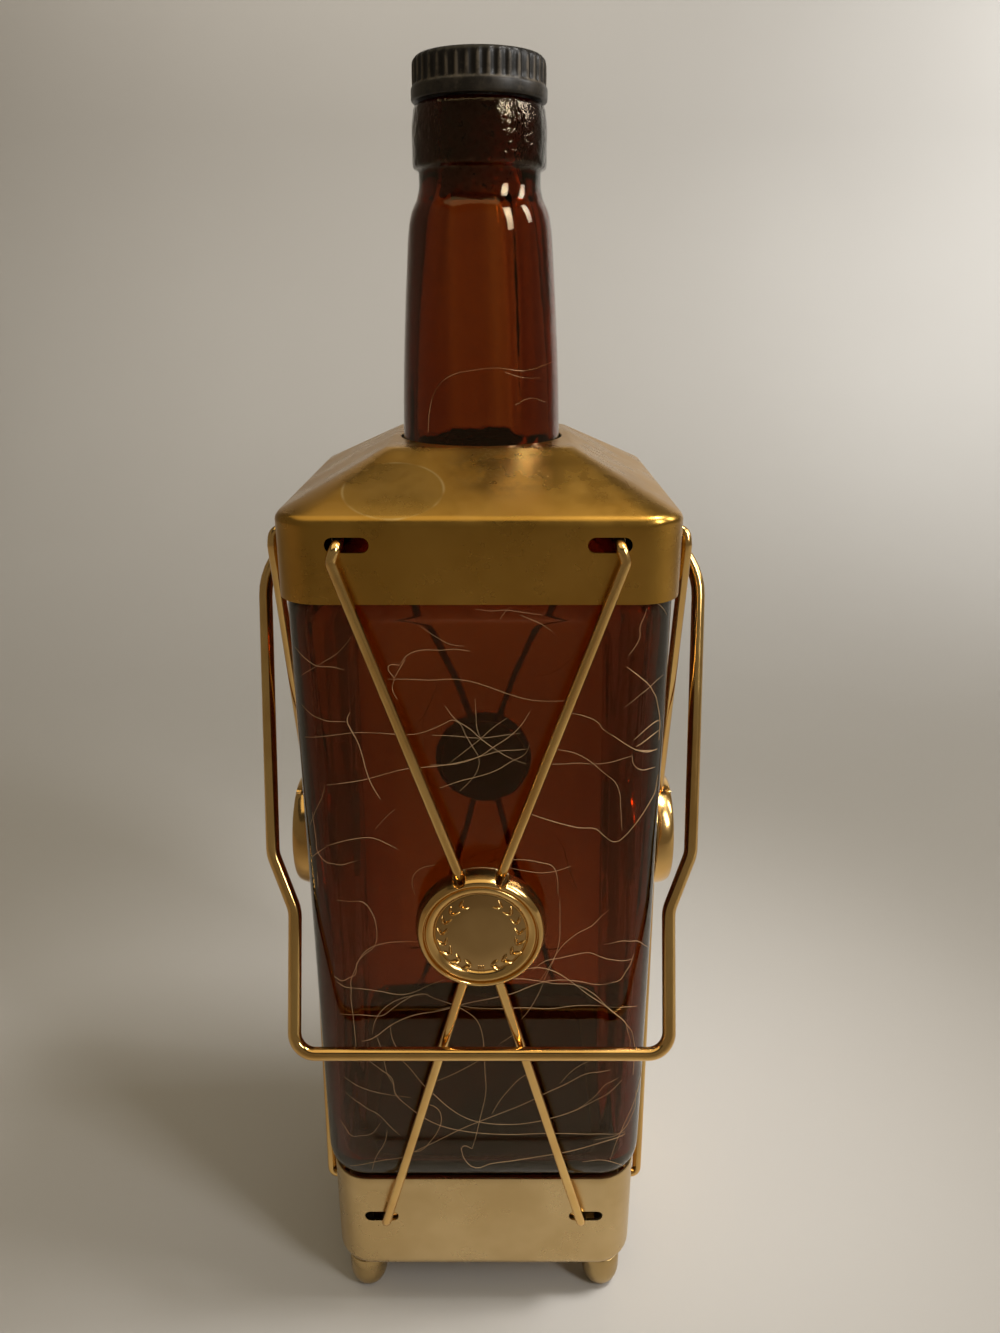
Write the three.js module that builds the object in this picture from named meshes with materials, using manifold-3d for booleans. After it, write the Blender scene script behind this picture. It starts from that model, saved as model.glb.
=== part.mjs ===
// A musical decanter: a square amber bottle held between a drawn base and a shoulder cover by crossing
// wires, with a bail handle, a ribbed stopper and a wind-up musical movement in the base.
// Millimetres, +Z up, front towards -Y, origin at the centre of the floor between the feet.

import * as THREE from 'three';
import { mergeVertices } from 'three/addons/utils/BufferGeometryUtils.js';
import Module from 'manifold-3d';

const wasm = await Module();
wasm.setup();

// Clearances
const gap = 0.3;                    // left between pieces that touch
const overrun = 1;                  // how far a cutter passes the face it cuts
const weldDepth = 0.3;              // how far joined bodies reach into each other

// Drawn sheet of the base and the cover
const sheet = 0.8;

// Feet
const footHeight = 13;
const footRadius = 5.75;
const footTipRadius = 2.2;
const footNose = 6.5;               // height of the rounded nose
const footInset = 8.5;              // each foot's centre in from the base's sides

// Screws under the base and in the feet
const screwRadius = 1.4;
const screwHeadRadius = 2.5;
const screwHeadHeight = 1.3;
const footScrewReach = 7;           // length of the foot screw's shank inside the foot

// Base housing
const baseInset = 1;                // how far the base's sides stand in from the bottle's
const baseHeight = 36.6;
const baseCorner = 11;
const baseEdge = 4.5;               // radius of the drawn edge around the floor
const baseHookInset = 14.5;         // centre of each hook's slot in from the base's side
const baseHookRise = 22;            // and above the base's underside

// Bottle body
const bottleHalf = 46;
const bottleCorner = 10.5;
const bottleWall = 4;
const bottleFloor = 5;
const heelRadius = 12;
const heelSink = 4.6;               // how far the bottle stands below the base's rim
const bodyHeight = 180;             // from the bottle's underside to the start of its shoulder
const shoulderRadius = 15;
const shoulderHeight = 32.9;        // from the start of the shoulder to the foot of the neck
const neckFillet = 2.4;

// Bottle neck
const neckFootRadius = 20.25;
const neckTopRadius = 14.65;
const neckHeight = 62.3;
const neckWall = 3.6;
const collarRadius = 16.05;
const collarHeight = 14.7;
const collarEdge = 1;               // height of the step under the collar
const mouthRadius = 15.25;
const mouthRound = 4;               // height over which the collar draws in to the mouth
const boreRadius = 9.9;
const boreDepth = 24;
const boreFlare = 8;                // height over which the bore widens into the neck

// Stopper
const capRadius = 16;
const capHeight = 9.4;
const capBandHeight = 3.1;          // plain band below the ribs
const capEdge = 0.8;                // rounding at the cap's top
const capStep = 0.3;                // how far the ribs stand back from the band
const ribDepth = 0.45;
const corkLength = 22;
const corkTaper = 0.4;

// Shoulder cover
const coverPlay = 0.5;              // between the bottle and the cover's band
const coverCorner = 10.5;
const coverLift = 1.9;              // band's lower edge above the start of the bottle's shoulder
const bandHeight = 17.7;
const eaveRadius = 3;
const roofRise = 14.3;
const flatHalf = 22.6;              // half of the square flat around the neck
const flatCorner = 2;
const coverHookInset = 17.7;        // centre of each hook's slot in from the band's side
const coverHookRise = 13.9;         // and above the band's lower edge

// Crossing wires
const wireRadius = 1.35;
const slotPlay = 6.5;               // how far a hook can shift along its slot
const crossingRise = 97;            // crossing above the bottle's underside
const baseHookTail = 4;

// Medallions
const medallionRadius = 16.8;
const medallionSheet = 0.6;
const rimWidth = 2.35;
const rimRise = 1.7;                // rim's crest above the field
const fieldRadius = 11.85;
const ringRise = 0.8;               // inner ring's crest above the field
const tabHalf = 2.5;
const tabRise = 0.8;                // how far the tab stands above the rim

// Bail handle, lengths along its leg from the pivot
const bailRadius = 1.8;
const bailPivotRise = 8.1;          // pivot above the band's lower edge
const bailTuck = 1.8;               // how far the ends pass the band's inner face
const bailStandOff = 1.1;           // wire's skin from the band where the leg bends down
const bailFlareOut = 11.2;          // each leg's middle out from the band
const bailFlareRun = 14.3;
const bailKneeOut = 8.7;
const bailKneeRun = 88.7;
const bailWaistOut = 2.7;
const bailWaistRun = 103.8;
const bailLength = 141.9;
const bailCornerRadius = 5.7;
const bailEndBend = 4;
const bailKneeBend = 9;

// Plate and pad under the bottle
const padThickness = 1.5;
const plateThickness = 1;
const plateInset = 2.7;             // plate's edge in from the base's wall
const pillarRadius = 2.5;           // pillars that carry the plate on the foot screws

// Movement's bed
const bedBossHeight = 2.8;
const bedThickness = 2.2;
const bedMargin = 2;
const bedCorner = 3;
const bedBossRadius = 3.2;

// Spring barrel with a crown wheel on its rim
const barrelRadius = 12.45;
const barrelWall = 1.85;
const barrelFloor = 1;
const barrelHeight = 8.2;           // up to the roots of the crown teeth
const springThickness = 0.5;
const springHubClearance = 1;

// Teeth of the crown wheel and of the pinion that it drives
const crownTeeth = 36;
const pinionTeeth = 12;
const crownAddendum = 0.6;
const crownDedendum = 0.9;
const pinionWidth = 2;

// Winding arbor and key
const arborRadius = 2;
const arborPivotRadius = 1.5;
const keyBossRadius = 3.6;
const keyBossHeight = 8;
const keyRise = 3.4;                // key's lowest point above the floor
const keyWingReach = 8.6;           // centre of each wing from the axis
const keyWingRadius = 4;
const keyWingHole = 1.6;
const keyThickness = 1.8;
const keySocketWall = 1.6;

// Pinned cylinder
const drumRadius = 6.5;
const toneCount = 18;
const tonePitch = 0.9;
const drumClearance = 0.75;         // between the cylinder and the pinion at its right
const pinRise = 0.6;
const pinWidth = 0.45;
const rodRadius = 1.2;              // cylinder's arbor
const wheelGap = 2.5;               // bare arbor between the cylinder and its wheel

// Comb
const combThickness = 1;
const combToothWidth = 0.6;
const combLength = 16.6;
const combHeelLength = 6;
const combLongSlot = 10;
const combShortSlot = 7;
const combScrewSpread = 4;

// Governor's wheels
const fineModule = 0.5;             // pitch diameter for each tooth
const cylinderWheelTeeth = 28;
const governorPinionTeeth = 10;
const wormModule = 0.6;
const wormWheelTeeth = 16;
const wheelThickness = 2;
const wormWheelThickness = 1.2;
const wheelSpacing = 1.5;           // between the cylinder's wheel and the worm wheel
const governorRodRadius = 0.9;
const governorDrop = Math.PI / 9;   // slope from the cylinder down to the governor's arbor

// Worm and fan
const wormPitchRadius = 1.7;
const wormThreadRadius = 0.5;
const wormRootRadius = 1.1;
const wormTurns = 4;
const wormRodRadius = 0.8;
const fanRadius = 5;
const fanHeight = 3.4;
const fanHubRadius = 1.6;
const fanThickness = 0.5;
const fanClearance = 1;             // between worm and fan, and between fan and top bearing

// Brackets of the movement
const bracketSheet = 1;
const bridgeSheet = 1.2;
const bridgeHalf = 4;
const earHalf = 3.5;
const earCover = 3;                 // metal left above a bearing
const bearingRadius = 2.2;
const bearingHeight = 1.6;

// Stop plunger, its spring and bush
const plungerRadius = 1.2;
const plungerLift = 0.3;            // tip above the floor when the decanter stands
const plungerTravel = 3;
const collarWidth = 1.4;            // plunger's collar beyond its shaft
const collarThickness = 1;
const bushFlange = 1;
const bushWall = 1.1;
const bushNose = 0.6;               // how far the bush passes the base's underside
const coilWire = 0.3;               // radius of the spring's wire
const coilLength = 4.6;
const coilTurns = 3.5;

// Stop lever
const leverReach = 8.6;             // from the lever's pin to the plunger
const leverRise = 5.5;              // from the pin up to the nose
const leverHalf = 0.7;
const leverOverhang = 0.6;          // lever's end beyond the plunger's middle
const leverPinRadius = 0.9;
const leverPinHead = 0.7;
const fanToLever = 0.4;
const leverNoseReach = 2.2;         // from the pin's upright to the tip of the nose
const standThickness = 1.8;

// Sides of round things, and steps of curves
const cornerSteps = 4;
const turnedSides = 20;
const footSides = 14;
const slimSides = 10;
const wireSides = 8;
const coilSteps = 8;
const coilSides = 5;

// Shares of each outline
const neckShares = [
  [0.02, 1],
  [0.22, 0.93],
  [0.54, 0.73],
  [0.65, 0.64],
  [0.77, 0.54],
  [0.83, 0.45],
  [0.87, 0.33],
  [0.91, 0.12],
  [0.96, 0],
  [1, 0],
];                                  // share of the neck's height, share of its taper still to come
const topHookShare = 0.34;          // hook's place outwards from its slot's centre, of the slot's play
const baseHookShare = -0.23;
const tipShare = 0.18;               // tooth at its tip and at its root, of the pitch
const rootShare = 0.54;

// Heights and depths that follow from the sizes
const baseHalf = bottleHalf - baseInset;
const coverHalf = bottleHalf + coverPlay + sheet;
const footSpread = baseHalf - footInset;
const plateHalf = baseHalf - sheet - plateInset;
const plateCorner = baseCorner - sheet - plateInset;
const baseBottom = footHeight;
const baseFloor = baseBottom + sheet;
const baseTop = baseBottom + baseHeight;
const bottleBottom = baseTop - heelSink;
const shoulderStart = bottleBottom + bodyHeight;
const neckFoot = shoulderStart + shoulderHeight;
const neckTop = neckFoot + neckHeight;
const bottleTop = neckTop + collarHeight;
const bandBottom = shoulderStart + coverLift;
const eaveHeight = bandBottom + bandHeight;
const roofTop = eaveHeight + roofRise;
const holeRadius = neckFootRadius + 2 * gap;
const slotHeight = 2 * wireRadius + 3 * gap;
const slotLength = slotHeight + slotPlay;
const crossingHeight = bottleBottom + crossingRise;
const discBack = bottleHalf + gap;
const discFront = discBack + medallionSheet;
const innerWireDepth = discFront + gap + wireRadius;
const outerWireDepth = innerWireDepth + 2 * wireRadius + gap;
const medallionDepth = outerWireDepth + wireRadius + gap;
const topSlotReach = coverHalf - coverHookInset;
const lowSlotReach = baseHalf - baseHookInset;
const topReach = topSlotReach + topHookShare * slotPlay;
const baseReach = lowSlotReach + baseHookShare * slotPlay;
const lowWireDepth = Math.max(baseHalf, bottleHalf) + gap + wireRadius;
const padTop = bottleBottom - gap;
const padBottom = padTop - padThickness;
const plateTop = padBottom - gap;
const plateBottom = plateTop - plateThickness;
const bedBottom = baseFloor + gap;
const bedUnderside = bedBottom + bedBossHeight;
const bedTop = bedUnderside + bedThickness;
const onBed = bedTop + gap;
const crownRadius = barrelRadius - barrelWall / 2;
const crownPitch = 2 * Math.PI * crownRadius / crownTeeth;
const pinionRadius = pinionTeeth * crownPitch / (2 * Math.PI);
const crownRoot = onBed + barrelHeight;
const crownTip = crownRoot + crownDedendum + crownAddendum;
const axisHeight = crownRoot + crownDedendum + pinionRadius;
const bridgeBottom = crownTip + gap;
const bridgeTop = bridgeBottom + bridgeSheet;
const drumLength = toneCount * tonePitch;
const drumToPinion = crownRadius + pinionWidth / 2 + drumClearance;
const wormToDrum = wormWheelThickness / 2 + wheelSpacing + wheelThickness + wheelGap + drumLength;
const plungerToWorm = leverReach + leverNoseReach + fanToLever + fanRadius;
const bushRadius = plungerRadius + gap + 2 * bushWall;
const barrelX = (drumToPinion + wormToDrum + plungerToWorm + bushRadius - barrelRadius) / 2;
const pinionX = barrelX - crownRadius;
const drumRight = barrelX - drumToPinion;
const drumLeft = drumRight - drumLength;
const wheelRight = drumLeft - wheelGap;
const wheelLeft = wheelRight - wheelThickness;
const wormWheelRight = wheelLeft - wheelSpacing;
const wormWheelLeft = wormWheelRight - wormWheelThickness;
const wormX = drumRight - wormToDrum;
const cylinderWheelRadius = cylinderWheelTeeth * fineModule / 2;
const governorPinionRadius = governorPinionTeeth * fineModule / 2;
const wormWheelRadius = wormWheelTeeth * wormModule / 2;
const governorDistance = cylinderWheelRadius + governorPinionRadius;
const governorY = governorDistance * Math.cos(governorDrop);
const governorZ = axisHeight - governorDistance * Math.sin(governorDrop);
const wormY = governorY + wormWheelRadius + wormPitchRadius;
const wormLead = 2 * Math.PI * wormWheelRadius / wormWheelTeeth;
const wormBottom = governorZ - wormLead * wormTurns / 2;
const wormTop = governorZ + wormLead * wormTurns / 2;
const fanBottom = wormTop + wormThreadRadius + fanClearance;
const fanTop = fanBottom + fanHeight;
const armBottom = fanTop + fanClearance;
const postFront = wormY + fanRadius + fanClearance;
const leverX = wormX - fanRadius - fanToLever - leverNoseReach;
const plungerX = leverX - leverReach;
const leverZ = (fanBottom + fanTop) / 2 - leverRise;
const plungerTop = leverZ - leverHalf - gap;
const bushTop = baseFloor + gap + bushFlange;
const plungerCollar = bushTop + plungerTravel + gap;
const coilBottom = plungerCollar + collarThickness + gap;
const coilTop = coilBottom + coilLength;
const guideBottom = coilTop + gap;

// Solids and booleans

function solidOf(geometry) {
  const bare = geometry.clone();
  bare.deleteAttribute('normal');
  bare.deleteAttribute('uv');
  const merged = mergeVertices(bare, gap / 1000);
  const corners = Array.from(merged.index.array);
  const kept = [];
  for (let i = 0; i < corners.length; i += 3) {
    const [a, b, c] = corners.slice(i, i + 3);
    if (a !== b && b !== c && c !== a) kept.push(a, b, c);
  }
  return new wasm.Manifold(new wasm.Mesh({
    numProp: 3,
    vertProperties: new Float32Array(merged.attributes.position.array),
    triVerts: new Uint32Array(kept),
  }));
}

function geometryOf(solid) {
  const mesh = solid.getMesh();
  const geometry = new THREE.BufferGeometry();
  const places = [];
  for (let i = 0; i < mesh.vertProperties.length; i += mesh.numProp) {
    places.push(...mesh.vertProperties.slice(i, i + 3));
  }
  geometry.setAttribute('position', new THREE.Float32BufferAttribute(places, 3));
  geometry.setIndex(Array.from(mesh.triVerts));
  geometry.computeVertexNormals();
  return geometry;
}

function join(first, ...others) {
  return geometryOf(others.reduce((body, other) => body.add(solidOf(other)), solidOf(first)));
}

function cut(body, ...cutters) {
  return geometryOf(cutters.reduce((rest, cutter) => rest.subtract(solidOf(cutter)), solidOf(body)));
}

// Simple shapes, all upright along Z unless turned

function slab([left, right], [front, back], [low, high]) {
  return new THREE.BoxGeometry(right - left, back - front, high - low)
    .translate((left + right) / 2, (front + back) / 2, (low + high) / 2);
}

function rod(radius, low, high, x = 0, y = 0, sides = slimSides) {
  return new THREE.CylinderGeometry(radius, radius, high - low, sides)
    .rotateX(Math.PI / 2)
    .translate(x, y, (low + high) / 2);
}

function rodAlongX(radius, left, right, y, z, sides = slimSides) {
  return rod(radius, left, right, 0, 0, sides).rotateY(Math.PI / 2).translate(0, y, z);
}

function rodAlongY(radius, front, back, x, z, sides = slimSides) {
  return rod(radius, -back, -front, 0, 0, sides).rotateX(Math.PI / 2).translate(x, 0, z);
}

function turned(profile, sides = turnedSides) {
  const points = profile.map(([radius, height]) => new THREE.Vector2(radius, height));
  return new THREE.LatheGeometry(points, sides).rotateX(Math.PI / 2);
}

function upright(shape, low, high, steps = cornerSteps) {
  return new THREE.ExtrudeGeometry(shape, {
    depth: high - low,
    bevelEnabled: false,
    curveSegments: steps,
  }).translate(0, 0, low);
}

function outline(points) {
  return new THREE.Shape(points.map(([x, y]) => new THREE.Vector2(x, y)));
}

function roundedRectangle(left, right, front, back, corner) {
  const shape = new THREE.Shape();
  shape.absarc(right - corner, front + corner, corner, -Math.PI / 2, 0);
  shape.absarc(right - corner, back - corner, corner, 0, Math.PI / 2);
  shape.absarc(left + corner, back - corner, corner, Math.PI / 2, Math.PI);
  shape.absarc(left + corner, front + corner, corner, Math.PI, 1.5 * Math.PI);
  return shape;
}

// Radius of a faceted hole that clears a round piece by the gap
function around(radius, sides = slimSides) {
  return (radius + gap) / Math.cos(Math.PI / sides);
}

function roundHole(radius, x = 0, y = 0) {
  const places = circlePoints(radius, slimSides);
  return new THREE.Path(places.map(([across, up]) => new THREE.Vector2(x + across, y + up)));
}

// Rings of points around Z, and the skins between them

const ringSize = 4 * (cornerSteps + 1);

function squareRing(half, corner, height) {
  const ring = [];
  for (let quarter = 0; quarter < 4; quarter += 1) {
    for (let step = 0; step <= cornerSteps; step += 1) {
      const place = new THREE.Vector3(half - corner, half - corner, height);
      const angle = step / cornerSteps * Math.PI / 2;
      place.x += corner * Math.cos(angle);
      place.y += corner * Math.sin(angle);
      ring.push(place.applyAxisAngle(new THREE.Vector3(0, 0, 1), quarter * Math.PI / 2));
    }
  }
  return ring;
}

function roundRing(radius, height, inset = () => 0, count = ringSize, phase = 0.5) {
  return Array.from({ length: count }, (_, index) => {
    const angle = 2 * Math.PI * (index + phase) / count;
    const reach = radius - inset(index);
    return new THREE.Vector3(reach * Math.cos(angle), reach * Math.sin(angle), height);
  });
}

function mixRings(first, second, share) {
  return first.map((place, index) => place.clone().lerp(second[index], share));
}

function loft(rings, closed = false) {
  const count = rings[0].length;
  const places = rings.flat();
  const faces = [];
  const bands = closed ? rings.length : rings.length - 1;
  for (let band = 0; band < bands; band += 1) {
    const low = band * count;
    const high = ((band + 1) % rings.length) * count;
    for (let i = 0; i < count; i += 1) {
      const next = (i + 1) % count;
      faces.push(low + i, low + next, high + next, low + i, high + next, high + i);
    }
  }
  if (!closed) {
    for (const [ring, facesUp] of [[0, false], [rings.length - 1, true]]) {
      const centre = places.length;
      places.push(new THREE.Vector3(0, 0, rings[ring][0].z));
      for (let i = 0; i < count; i += 1) {
        const here = ring * count + i;
        const next = ring * count + (i + 1) % count;
        faces.push(centre, facesUp ? here : next, facesUp ? next : here);
      }
    }
  }
  const geometry = new THREE.BufferGeometry();
  geometry.setFromPoints(places);
  geometry.setIndex(faces);
  geometry.computeVertexNormals();
  return geometry;
}

// Wires bent round corners

class BentPath extends THREE.Curve {
  constructor(corners, bends) {
    super();
    const last = corners.length - 1;
    this.stations = [[corners[0], directionOf(corners[0], corners[1])]];
    for (let i = 1; i < last; i += 1) {
      this.stations.push(...bendOf(corners[i - 1], corners[i], corners[i + 1], bends[i - 1]));
    }
    this.stations.push([corners[last], directionOf(corners[last - 1], corners[last])]);
  }

  stationAt(share) {
    return this.stations[Math.round(share * (this.stations.length - 1))];
  }

  getPointAt(share) {
    return this.stationAt(share)[0].clone();
  }

  getTangentAt(share) {
    return this.stationAt(share)[1].clone();
  }
}

function directionOf(from, to) {
  return to.clone().sub(from).normalize();
}

function bendOf(before, corner, after, radius) {
  const incoming = directionOf(before, corner);
  const turn = incoming.angleTo(directionOf(corner, after));
  const axis = incoming.clone().cross(directionOf(corner, after)).normalize();
  const start = corner.clone().addScaledVector(incoming, -radius * Math.tan(turn / 2));
  const centre = start.clone().addScaledVector(axis.clone().cross(incoming), radius);
  const steps = Math.ceil(turn / (Math.PI / 5));
  return Array.from({ length: steps + 1 }, (_, step) => {
    const angle = turn * step / steps;
    const place = start.clone().sub(centre).applyAxisAngle(axis, angle).add(centre);
    return [place, incoming.clone().applyAxisAngle(axis, angle)];
  });
}

function bentWire(radius, corners, bends, sides = wireSides) {
  const path = new BentPath(corners, bends);
  return new THREE.ExtrudeGeometry(outline(circlePoints(radius, sides)), {
    steps: path.stations.length - 1,
    extrudePath: path,
    bevelEnabled: false,
  });
}

function circlePoints(radius, count) {
  return Array.from({ length: count }, (_, index) => {
    const angle = 2 * Math.PI * index / count;
    return [radius * Math.cos(angle), radius * Math.sin(angle)];
  });
}

class Helix extends THREE.Curve {
  constructor(radius, lead, turns, low, phase = 0) {
    super();
    Object.assign(this, { radius, lead, turns, low, phase });
  }

  getPoint(share, target = new THREE.Vector3()) {
    const angle = 2 * Math.PI * this.turns * share;
    return target.set(
      this.radius * Math.cos(angle + this.phase),
      this.radius * Math.sin(angle + this.phase),
      this.low + this.lead * this.turns * share,
    );
  }
}

function wound(helix, wire, sides) {
  return new THREE.ExtrudeGeometry(outline(circlePoints(wire, sides)), {
    steps: Math.round(helix.turns * coilSteps),
    extrudePath: helix,
    bevelEnabled: false,
  });
}

// Toothed outlines, with a tooth at the given angle

function gearShape(teeth, pitchRadius, addendum, dedendum, toothAngle, bore) {
  const pitchAngle = 2 * Math.PI / teeth;
  const points = [];
  for (let tooth = 0; tooth < teeth; tooth += 1) {
    const middle = toothAngle + tooth * pitchAngle;
    for (const [radius, share] of [
      [pitchRadius - dedendum, -rootShare / 2],
      [pitchRadius + addendum, -tipShare / 2],
      [pitchRadius + addendum, tipShare / 2],
      [pitchRadius - dedendum, rootShare / 2],
    ]) {
      const angle = middle + share * pitchAngle;
      points.push([radius * Math.cos(angle), radius * Math.sin(angle)]);
    }
  }
  const shape = outline(points);
  if (bore) shape.holes.push(roundHole(bore));
  return shape;
}

// Pieces of the bottle and its stopper

function arcRings(centreHalf, centreHeight, radius, from, to, steps, corner) {
  return Array.from({ length: steps + 1 }, (_, step) => {
    const angle = from + (to - from) * step / steps;
    const half = centreHalf + radius * Math.cos(angle);
    return squareRing(half, corner, centreHeight + radius * Math.sin(angle));
  });
}

function neckRadiusAt(taper) {
  return neckTopRadius + taper * (neckFootRadius - neckTopRadius);
}

function bottle() {
  const eighth = Math.PI / 4;
  const arcHalf = bottleHalf - shoulderRadius;
  const arcRise = shoulderRadius * Math.sin(eighth);
  const arcEnd = [arcHalf + arcRise, shoulderStart + arcRise];
  const coneEnd = [neckFootRadius + neckFillet, neckFoot - neckFillet];
  const slope = (share, inset) => {
    const half = arcEnd[0] + share * (coneEnd[0] - arcEnd[0]) - inset;
    const height = arcEnd[1] + share * (coneEnd[1] - arcEnd[1]);
    const corner = Math.min(bottleCorner, half / 2);
    return mixRings(squareRing(half, corner, height), roundRing(half, height), share);
  };
  const coneInset = bottleWall * Math.SQRT2;
  const innerHeel = heelRadius - bottleFloor;
  const innerHalf = bottleHalf - bottleWall;
  const innerCorner = bottleCorner - bottleWall;
  const innerFloor = bottleBottom + bottleFloor;
  const flareBottom = bottleTop - boreDepth - boreFlare;
  const innerNeck = neckShares
    .map(([rise, taper]) => [neckRadiusAt(taper) - neckWall, neckFoot + rise * neckHeight])
    .filter(([, height]) => height < flareBottom)
    .reverse();
  const rings = [
    ...arcRings(
      bottleHalf - heelRadius, bottleBottom + heelRadius, heelRadius, -Math.PI / 2, 0, 3, bottleCorner,
    ),
    ...arcRings(arcHalf, shoulderStart, shoulderRadius, 0, eighth, 2, bottleCorner),
    slope(0.5, 0),
    slope(1, 0),
    roundRing(neckFootRadius + neckFillet / 10, neckFoot),
    ...neckShares.map(([rise, taper]) => roundRing(neckRadiusAt(taper), neckFoot + rise * neckHeight)),
    roundRing(collarRadius, neckTop + collarEdge),
    roundRing(collarRadius, bottleTop - mouthRound),
    roundRing(mouthRadius, bottleTop),
    roundRing(boreRadius, bottleTop),
    roundRing(boreRadius, bottleTop - boreDepth),
    ...innerNeck.map(([radius, height]) => roundRing(radius, height)),
    slope(1, coneInset),
    slope(0.5, coneInset),
    ...arcRings(arcHalf, shoulderStart, shoulderRadius - bottleWall, eighth, 0, 2, innerCorner),
    ...arcRings(
      innerHalf - innerHeel, innerFloor + innerHeel, innerHeel, 0, -Math.PI / 2, 2, innerCorner,
    ),
  ];
  return loft(rings);
}

function stopperCap() {
  const ribs = 40;
  const low = bottleTop + gap;
  const high = low + capHeight;
  const zigzag = (index) => ribDepth * (index % 2);
  const ribbed = (radius, height) => roundRing(radius, height, zigzag, 2 * ribs, 0);
  const plain = (radius, height) => roundRing(radius, height, () => 0, 2 * ribs, 0);
  return loft([
    plain(capRadius, low),
    plain(capRadius, low + capBandHeight),
    ribbed(capRadius - capStep, low + capBandHeight + capStep),
    ribbed(capRadius - capStep, high - capEdge),
    plain(capRadius - capStep - ribDepth - capEdge, high),
  ]);
}

function stopperCork() {
  const top = boreRadius * Math.cos(Math.PI / ringSize) - gap;
  const bottom = top - corkTaper;
  return turned([
    [0, bottleTop - corkLength],
    [bottom, bottleTop - corkLength],
    [top, bottleTop],
    [0, bottleTop],
  ]);
}

// Pieces of the outer metalwork

function throughSlot(reach, height, half) {
  const round = slotHeight / 2;
  const [left, right] = [reach - slotLength / 2, reach + slotLength / 2];
  const shape = roundedRectangle(left, right, height - round, height + round, round);
  return upright(shape, -half - overrun, half + overrun, 1).rotateX(Math.PI / 2);
}

function slotsThrough(reach, height, half) {
  const pair = [throughSlot(reach, height, half), throughSlot(-reach, height, half)];
  return [...pair, ...pair.map((slot) => slot.clone().rotateZ(Math.PI / 2))];
}

function shoulderCover() {
  const slope = Math.atan2(roofRise, coverHalf - flatHalf);
  const bend = Math.PI / 2 - slope;
  const tangent = eaveRadius * Math.tan(bend / 2);
  const arcHeight = eaveHeight - tangent;
  const drop = sheet * Math.tan(bend / 2);
  const skin = (radius, inset, low, high) => [
    squareRing(coverHalf - inset, coverCorner - inset, low),
    ...arcRings(coverHalf - eaveRadius, arcHeight, radius, 0, bend, 3, coverCorner - inset),
    squareRing(flatHalf - drop * inset / sheet, flatCorner, high),
    roundRing(holeRadius, high),
  ];
  const outer = skin(eaveRadius, 0, bandBottom, roofTop);
  const inner = skin(eaveRadius - sheet, sheet, bandBottom, roofTop - sheet).reverse();
  const outside = coverHalf + overrun;
  const bailHole = rodAlongX(around(bailRadius), -outside, outside, 0, bandBottom + bailPivotRise);
  return cut(
    loft([...outer, ...inner], true),
    ...slotsThrough(topSlotReach, bandBottom + coverHookRise, coverHalf),
    bailHole,
  );
}

function baseHousing() {
  const drawnEdge = (radius, from, to, corner) => (
    arcRings(baseHalf - baseEdge, baseBottom + baseEdge, radius, from, to, 3, corner)
  );
  const lowCorner = baseCorner - baseEdge / 2;
  const outer = [
    ...drawnEdge(baseEdge, -Math.PI / 2, 0, lowCorner),
    squareRing(baseHalf, baseCorner, baseTop),
  ];
  const inner = [
    squareRing(baseHalf - sheet, baseCorner - sheet, baseTop),
    ...drawnEdge(baseEdge - sheet, 0, -Math.PI / 2, lowCorner - sheet),
  ];
  const low = baseBottom - overrun;
  const high = baseFloor + overrun;
  return cut(
    loft([...outer, ...inner]),
    ...slotsThrough(lowSlotReach, baseBottom + baseHookRise, baseHalf),
    rod(around(arborRadius), low, high, barrelX, 0),
    rod(around(plungerRadius + gap + bushWall), low, high, plungerX, wormY),
    ...bedScrews.map(([x, y]) => rod(around(screwRadius), low, high, x, y)),
    ...footCorners.map(([, x, y]) => rod(around(screwRadius), low, high, x, y)),
  );
}

const footCorners = [
  ['front_left', -footSpread, -footSpread],
  ['front_right', footSpread, -footSpread],
  ['back_right', footSpread, footSpread],
  ['back_left', -footSpread, footSpread],
];

function foot() {
  const steps = 3;
  const nose = Array.from({ length: steps + 1 }, (_, step) => {
    const angle = step / steps * Math.PI / 2;
    const radius = footTipRadius + (footRadius - footTipRadius) * Math.sin(angle);
    return [radius, footNose * (1 - Math.cos(angle))];
  });
  const top = footHeight - gap;
  const bottom = footHeight - footScrewReach - gap;
  const bore = around(screwRadius, footSides);
  return turned([[0, 0], ...nose, [footRadius, top], [bore, top], [bore, bottom], [0, bottom]], footSides);
}

function footScrew() {
  const head = baseFloor + gap;
  return turned([
    [0, footHeight - footScrewReach],
    [screwRadius, footHeight - footScrewReach],
    [screwRadius, head],
    [screwHeadRadius, head],
    [screwHeadRadius, head + screwHeadHeight / 2],
    [screwHeadRadius / 2, head + screwHeadHeight],
    [0, head + screwHeadHeight],
  ], slimSides);
}

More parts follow.
